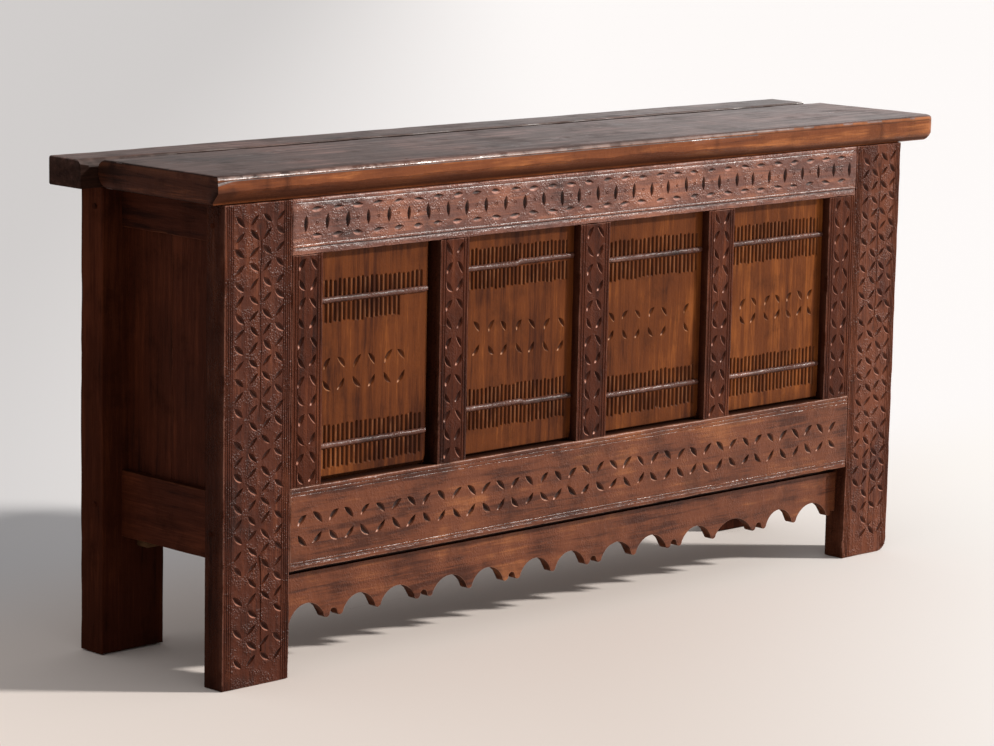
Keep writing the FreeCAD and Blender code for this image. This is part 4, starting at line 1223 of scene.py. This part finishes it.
board("lid_board", "top", "lid_wood", "x", lid, lidCuts(lid[0][1] - lid[0][0]), body="lid", wear=2.2,
      wearSpread=0.2, sway=1.1, swaySize=160, dents=14, dentSize=0.5, rowSway={7: 3.5, 8: 2},
      # these rows are darkened as painted shade on the lower chamfer and underside, with a thin dark line
      # along the top
      rowDirt={1: 0.1, 2: 0.3, 3: 0.2, 5: 0.8, 7: 0.2, 8: 0.6, 9: 1},
      stains=lidStainsAndShade, shinySides=True, band="lid_edge", ends="lid_end",
      profile=(lidFront, lidRight, halfRound, lidLeft),
      # the front arris rows are paled as wear and as painted highlight, fading to the right
      farProfile=lidFrontFar, edgeRows=(0, 0, 0, 0.7, 1.1, 0.2), edgeFade=0.75,
      corners=(0, 24, 0, 0), step=15, edgeSway=0, sideSway=0, tone=0.4, toneFar=0.9, room=34, dullBelow=0.75)


def eyePlace(side):
    x, y, z = spansOf(f"hinge_eye_{side}")
    return sum(x) / 2, sum(y) / 2, z[0]


def cutNotches(thing, half, reach):
    cutters = []
    for side in ("left", "right"):
        middle, axisY, foot = eyePlace(side)
        beyond = 9  # the cutter stands out of the lid behind and below
        spans = [(middle - half, middle + half), (axisY - reach, lid[1][1] + beyond),
                 (lid[2][0] - beyond, hingeZ + reach)]
        corners = [[spans[axis][(number >> axis) & 1] * mm for axis in range(3)] for number in range(8)]
        mesh = bpy.data.meshes.new("notch")
        mesh.from_pydata(corners, [], [(0, 2, 3, 1), (4, 5, 7, 6), (0, 1, 5, 4), (2, 6, 7, 3), (0, 4, 6, 2),
                                       (1, 3, 7, 5)])
        mesh.attributes.new("tone", "FLOAT", "POINT").data.foreach_set("value", [0.6] * 8)
        cutter = linked("notch", mesh)
        modifier = thing.modifiers.new("notch", "BOOLEAN")
        modifier.operation = "DIFFERENCE"
        modifier.solver = "EXACT"
        modifier.object = cutter
        cutters.append(cutter)
    made = evaluated(thing)
    thing.modifiers.clear()
    thing.data = made
    for cutter in cutters:
        bpy.data.objects.remove(cutter, do_unlink=True)


cutNotches(bpy.data.objects["lidBoard"], half=18.5, reach=12.8)
print("lid and rear board made")


# Geometry Nodes: pegs and nails on their places, rods swept along their paths
def islandsOf(node):  # lowest and highest corner of each loose part of a CAD node, in millimetres
    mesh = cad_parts[node].data
    groups = list(range(len(mesh.vertices)))
    byPlace = {}
    for vertex in mesh.vertices:
        byPlace.setdefault(tuple(round(part, 5) for part in vertex.co), []).append(vertex.index)

    def root(index):
        while groups[index] != index:
            groups[index] = groups[groups[index]]
            index = groups[index]
        return index

    for same in byPlace.values():
        for other in same[1:]:
            groups[root(other)] = root(same[0])
    for edge in mesh.edges:
        groups[root(edge.vertices[0])] = root(edge.vertices[1])
    boxes = {}
    for vertex in mesh.vertices:
        low, high = boxes.setdefault(root(vertex.index), ([1e9] * 3, [-1e9] * 3))
        for axis in range(3):
            low[axis] = min(low[axis], vertex.co[axis] / mm)
            high[axis] = max(high[axis], vertex.co[axis] / mm)
    return sorted(boxes.values())


def attributeOf(tree, word):
    node = newNode(tree, "GeometryNodeInputNamedAttribute", {"Name": word}, data_type="FLOAT_VECTOR")
    return node.outputs["Attribute"]


def endTree(tree, given, out, geometry, scale):  # made real, roughened by noise and given its finish
    real = newNode(tree, "GeometryNodeRealizeInstances", {"Geometry": geometry})
    place = newNode(tree, "GeometryNodeInputPosition")
    rough = newNode(tree, "ShaderNodeTexNoise", {"Vector": place.outputs[0], "Scale": scale})
    shift = newNode(tree, "ShaderNodeVectorMath", {0: rough.outputs["Color"], 1: (0.5, 0.5, 0.5)},
                    operation="SUBTRACT")
    size = newNode(tree, "ShaderNodeVectorMath", {0: shift.outputs[0], "Scale": given["Unevenness"]},
                   operation="SCALE")
    sockets = {"Geometry": real.outputs[0], "Offset": size.outputs[0]}
    moved = newNode(tree, "GeometryNodeSetPosition", sockets)
    sockets = {"Geometry": moved.outputs[0], "Material": given["Material"]}
    tree.links.new(newNode(tree, "GeometryNodeSetMaterial", sockets).outputs[0], out[0])
    return tree


def makePegTree():  # a whittled peg on each point, turned along "way" and sized by "size"
    tree, given, out = newTree("whittledPegs", "GeometryNodeTree", [
        ("Geometry", "Geometry"), ("Sides", "Int", 8), ("Taper", "Float", 0.9), ("Seed", "Int", 3),
        ("Unevenness", "Float", 0.0004), ("Material", "Material")], [("Geometry", "Geometry")])
    peg = newNode(tree, "GeometryNodeMeshCone", {"Vertices": given["Sides"], "Radius Top": given["Taper"],
                                                 "Radius Bottom": 1.0, "Depth": 1.0})
    shaped = newNode(tree, "GeometryNodeTransform", {"Geometry": peg.outputs[0], "Translation": (0, 0, -1)})
    turn = newNode(tree, "FunctionNodeAlignRotationToVector", {"Vector": attributeOf(tree, "way")}, axis="Z")
    spin = newNode(tree, "FunctionNodeRandomValue", {2: 0.0, 3: 6.28, "Seed": given["Seed"]},
                   data_type="FLOAT")
    spun = newNode(tree, "FunctionNodeAxisAngleToRotation", {"Axis": (0, 0, 1), "Angle": spin.outputs[1]})
    sockets = {"Rotation": turn.outputs[0], "Rotate By": spun.outputs[0]}
    both = newNode(tree, "FunctionNodeRotateRotation", sockets, rotation_space="LOCAL")
    spread = newNode(tree, "GeometryNodeInstanceOnPoints", {
        "Points": given["Geometry"], "Instance": shaped.outputs[0], "Rotation": both.outputs[0],
        "Scale": attributeOf(tree, "size")})
    return endTree(tree, given, out, spread.outputs[0], 160.0)


def makeRodTree():  # a round rod along the edges of a mesh
    tree, given, out = newTree("sweptRod", "GeometryNodeTree", [
        ("Geometry", "Geometry"), ("Radius", "Float", 0.0035), ("Bend", "Float", 0.0),
        ("Length Step", "Float", 0.004), ("Sides", "Int", 10), ("Unevenness", "Float", 0.0002),
        ("Roughness Scale", "Float", 120.0), ("Material", "Material")], [("Geometry", "Geometry")])
    path = newNode(tree, "GeometryNodeMeshToCurve", {"Mesh": given["Geometry"]})
    bent = newNode(tree, "GeometryNodeFilletCurve", {"Curve": path.outputs[0], "Radius": given["Bend"],
                                                     "Limit Radius": True, "Count": 6}, mode="POLY")
    sockets = {"Curve": bent.outputs[0], "Length": given["Length Step"]}
    even = newNode(tree, "GeometryNodeResampleCurve", sockets, mode="LENGTH")
    sockets = {"Resolution": given["Sides"], "Radius": given["Radius"]}
    section = newNode(tree, "GeometryNodeCurvePrimitiveCircle", sockets, mode="RADIUS")
    rod = newNode(tree, "GeometryNodeCurveToMesh", {
        "Curve": even.outputs[0], "Profile Curve": section.outputs[0], "Fill Caps": True})
    return endTree(tree, given, out, rod.outputs[0], given["Roughness Scale"])


def grown(name, mesh, tree, inputs):  # runs a tree on a mesh and gives back a plain mesh
    thing = linked(name, mesh)
    modifier = thing.modifiers.new(name, "NODES")
    modifier.node_group = tree
    sockets = {item.name: item.identifier for item in tree.interface.items_tree if item.in_out == "INPUT"}
    for word, value in inputs.items():
        modifier[sockets[word]] = value
    made = evaluated(thing)
    bpy.data.objects.remove(thing, do_unlink=True)
    made.name = name
    return plainWood(made, 34)


def plainWood(mesh, degrees):  # the values that the finishes read, the same all over
    for word, value in (("tone", 0.5), ("cut", 0.0), ("edge", 0.0)):
        if word not in mesh.attributes:
            values = [value] * len(mesh.vertices)
            mesh.attributes.new(word, "FLOAT", "POINT").data.foreach_set("value", values)
    return smoothed(mesh, degrees)


pegTree, rodTree = makePegTree(), makeRodTree()


def pegsFor(node, material, proud, taper, sides):
    places, ways, sizes = [], [], []
    for low, high in islandsOf(node):
        spans = [high[axis] - low[axis] for axis in range(3)]
        axis = spans.index(max(spans))
        centre = [(low[other] + high[other]) / 2 for other in range(3)]
        outward = 1 if centre[axis] > 0 or axis == 2 else -1
        end = (high[axis] if outward > 0 else low[axis]) + outward * proud
        start = (low[axis] if outward > 0 else high[axis]) - outward * proud
        radius = min(spans) / 2
        centre[axis] = end
        places.append([part * mm for part in centre])
        ways.append([outward if other == axis else 0 for other in range(3)])
        sizes.append([radius * mm, radius * mm, abs(end - start) * mm])
    mesh = bpy.data.meshes.new(node)
    mesh.from_pydata(places, [], [])
    for word, rows in (("way", ways), ("size", sizes)):
        data = mesh.attributes.new(word, "FLOAT_VECTOR", "POINT").data
        data.foreach_set("vector", [part for row in rows for part in row])
    made = grown(pieceName(node), mesh, pegTree, {"Sides": sides, "Taper": taper, "Material": material})
    return keep(pieceName(node), made, material, [node])


for node, way, proud in (("front_frame_pegs", "y", 0.8), ("back_frame_pegs", "y", 0.8),
                         ("end_frame_pegs", "x", 0.8), ("top_board_pegs", "y", -0.3)):
    # the ends' pegs take the darkened sides' copy of the end wood: painted shade
    finish = woods["end_wood", "x"][1] if way == "x" else woods["peg_wood", way][0]
    pegsFor(node, finish, proud, 0.95, 8)
for node in ("bearer_nails", "floor_nails"):
    pegsFor(node, iron, 0, 1.0, 6)


def pathMesh(name, points, closed=False):
    mesh = bpy.data.meshes.new(name)
    edges = [(index, index + 1) for index in range(len(points) - 1)]
    if closed:
        edges.append((len(points) - 1, 0))
    mesh.from_pydata([[part * mm for part in point] for point in points], edges, [])
    return mesh


def joined(name, meshes):
    points, faces = [], []
    for mesh in meshes:
        first = len(points)
        points.extend(tuple(vertex.co) for vertex in mesh.vertices)
        faces.extend(tuple(first + index for index in face.vertices) for face in mesh.polygons)
    made = bpy.data.meshes.new(name)
    made.from_pydata(points, [], faces)
    return plainWood(made, 40)


hingeShape = {"wire": 3.4, "bar": 3.4, "shank": 2.9, "ringRadius": 7.3}
rodLook = {"Sides": 10, "Unevenness": 0.0002, "Length Step": 0.0018, "Material": iron}


def ironRod(name, points, part, closed=False, **more):
    return grown(name, pathMesh(name, points, closed), rodTree,
                 {"Radius": hingeShape[part] * mm, **rodLook, **more})


for side in ("left", "right"):
    middle, axisY, footZ = eyePlace(side)
    reach = hingeShape["ringRadius"]
    turns = [math.radians(turn) for turn in range(0, 360, 15)]
    ring = [(middle, axisY + reach * math.sin(turn), hingeZ - reach * math.cos(turn)) for turn in turns]
    loop = ironRod("eyeRing", ring, "bar", True)
    shank = ironRod("eyeShank", [(middle, axisY, hingeZ - reach), (middle, axisY, footZ)], "shank")
    keep(f"hingeEye{side.capitalize()}", joined(f"hingeEye{side}", [loop, shank]), iron,
         [f"hinge_eye_{side}"])
    x, y, z = spansOf(f"hinge_staple_{side}")
    left, right = tucked(x, (z[0] - z[1]) / 2)
    prong = [(left, y[0], hingeZ), (left, axisY, hingeZ), (right, axisY, hingeZ), (right, y[0], hingeZ)]
    wire = ironRod(f"hingeStaple{side}", prong, "wire", Bend=0.003)
    keep(f"hingeStaple{side.capitalize()}", wire, iron, [f"hinge_staple_{side}"], "lid")

barShape = {"radius": 5.2, "short": 4, "steps": {(2, 0): (0.49, 3), (2, 1): (0.55, -3)}}
barWood = woods["bar_wood", "x"][0]
for number, (left, right) in panelOpenings.items():
    face = spansOf(f"front_panel_{number}")[1][0] + barsProud + 0.3
    bars = []
    for level, v in enumerate(panelCarving[number]["bars"]):
        z = openingLow + v
        share, rise = barShape["steps"].get((number, level), (0.5, 0))
        middle = left + share * (right - left)
        ends = [(left + barShape["short"] - 3, face, z), (middle - 3, face, z), (middle + 3, face, z + rise),
                (right - barShape["short"], face, z + rise)]
        bars.append(grown("bar", pathMesh("bar", ends), rodTree, {
            "Radius": barShape["radius"] * mm, "Sides": 12, "Unevenness": 0.0026, "Length Step": 0.005,
            "Roughness Scale": 70.0, "Material": barWood}))
    keep(f"panelBars{number}", joined(f"panelBars{number}", bars), barWood, [])
print("pegs, nails, hinges and bars grown")


# Floor, light and camera
def makeStage():
    mesh = bpy.data.meshes.new("floor")
    reach = 60
    corners = [(-reach, -reach, 0), (reach, -reach, 0), (reach, reach, 0), (-reach, reach, 0)]
    mesh.from_pydata(corners, [], [(0, 1, 2, 3)])
    material = bpy.data.materials.new("paleFloor")
    material.use_nodes = True
    tree = material.node_tree
    shader = tree.nodes["Principled BSDF"]
    place = tree.nodes.new("ShaderNodeTexCoord").outputs["Object"]
    parts = newNode(tree, "ShaderNodeSeparateXYZ", {0: place})
    # the floor's colour is lighter to the right and front and greyer far off to the left: painted light and
    # shade
    across = mathOf(tree, "MULTIPLY_ADD", parts.outputs["Y"], -0.97, parts.outputs["X"])
    near = mixOf(tree, spreadOf(tree, across, 0.1, 1.7), paint(231, 221, 214), paint(254, 252, 250))
    far = mixOf(tree, spreadOf(tree, across, -2.4, 0.6), paint(208, 207, 208), paint(254, 253, 254))
    tree.links.new(mixOf(tree, spreadOf(tree, parts.outputs["Y"], 0.2, 0.9), near, far),
                   shader.inputs["Base Color"])
    shader.inputs["Roughness"].default_value = 0.9
    shader.inputs["Specular IOR Level"].default_value = 0.1
    mesh.materials.append(material)
    linked("floor", mesh)


def makeLight():
    sun = bpy.data.lights.new("key", "SUN")
    sun.energy = 3.75
    sun.angle = math.radians(5)
    sun.color = (1, 0.965, 0.92)
    lamp = linked("key", sun)
    lamp.rotation_euler = (-Vector((0.65, -0.58, 0.485))).to_track_quat("-Z", "Y").to_euler()
    world = bpy.data.worlds.new("room")
    world.use_nodes = True
    tree = world.node_tree
    background = tree.nodes["Background"]
    path = tree.nodes.new("ShaderNodeLightPath").outputs
    seen = mathOf(tree, "MAXIMUM", path["Is Camera Ray"], path["Is Transmission Ray"])
    strength = mathOf(tree, "MULTIPLY_ADD", seen, 0.5, 0.5)
    ray = tree.nodes.new("ShaderNodeTexCoord").outputs["Generated"]
    way = newNode(tree, "ShaderNodeSeparateXYZ", {0: ray})
    walls = mathOf(tree, "MULTIPLY", spreadOf(tree, way.outputs["Z"], 0.35, 0.8, 1.0, 0.0),
                   spreadOf(tree, way.outputs["X"], -0.6, 0.1, 0.1, 1.0))
    mirrored = mathOf(tree, "MULTIPLY_ADD", walls, 0.88, -0.38)
    strength = mathOf(tree, "MULTIPLY_ADD", path["Is Glossy Ray"], mirrored, strength)
    background.inputs["Color"].default_value = paint(240, 238, 238)
    tree.links.new(strength, background.inputs["Strength"])
    bpy.context.scene.world = world


cameraPlace = {"at": (-4.7978, -4.8215, 1.6060), "lens": 129.9, "yaw": 0.7760, "down": 0.1704,
               "roll": 0.0199}


def makeCamera():
    yaw, down, roll = cameraPlace["yaw"], cameraPlace["down"], cameraPlace["roll"]
    ahead = Vector((math.sin(yaw) * math.cos(down), math.cos(yaw) * math.cos(down), -math.sin(down)))
    right = Vector((math.cos(yaw), -math.sin(yaw), 0))
    up = right.cross(ahead)
    across = math.cos(roll) * right + math.sin(roll) * up
    upward = -math.sin(roll) * right + math.cos(roll) * up
    camera = linked("camera", bpy.data.cameras.new("camera"))
    camera.data.lens = cameraPlace["lens"]
    camera.data.sensor_width = 36
    camera.data.clip_end = 300
    turned = [[across[row], upward[row], -ahead[row]] for row in range(3)]
    rows = [[*turned[row], cameraPlace["at"][row]] for row in range(3)]
    camera.matrix_world = Matrix(rows + [[0, 0, 0, 1]])
    bpy.context.scene.camera = camera


makeStage()
makeLight()
makeCamera()
bpy.context.scene.view_settings.view_transform = "Standard"
print("floor, light and camera set")
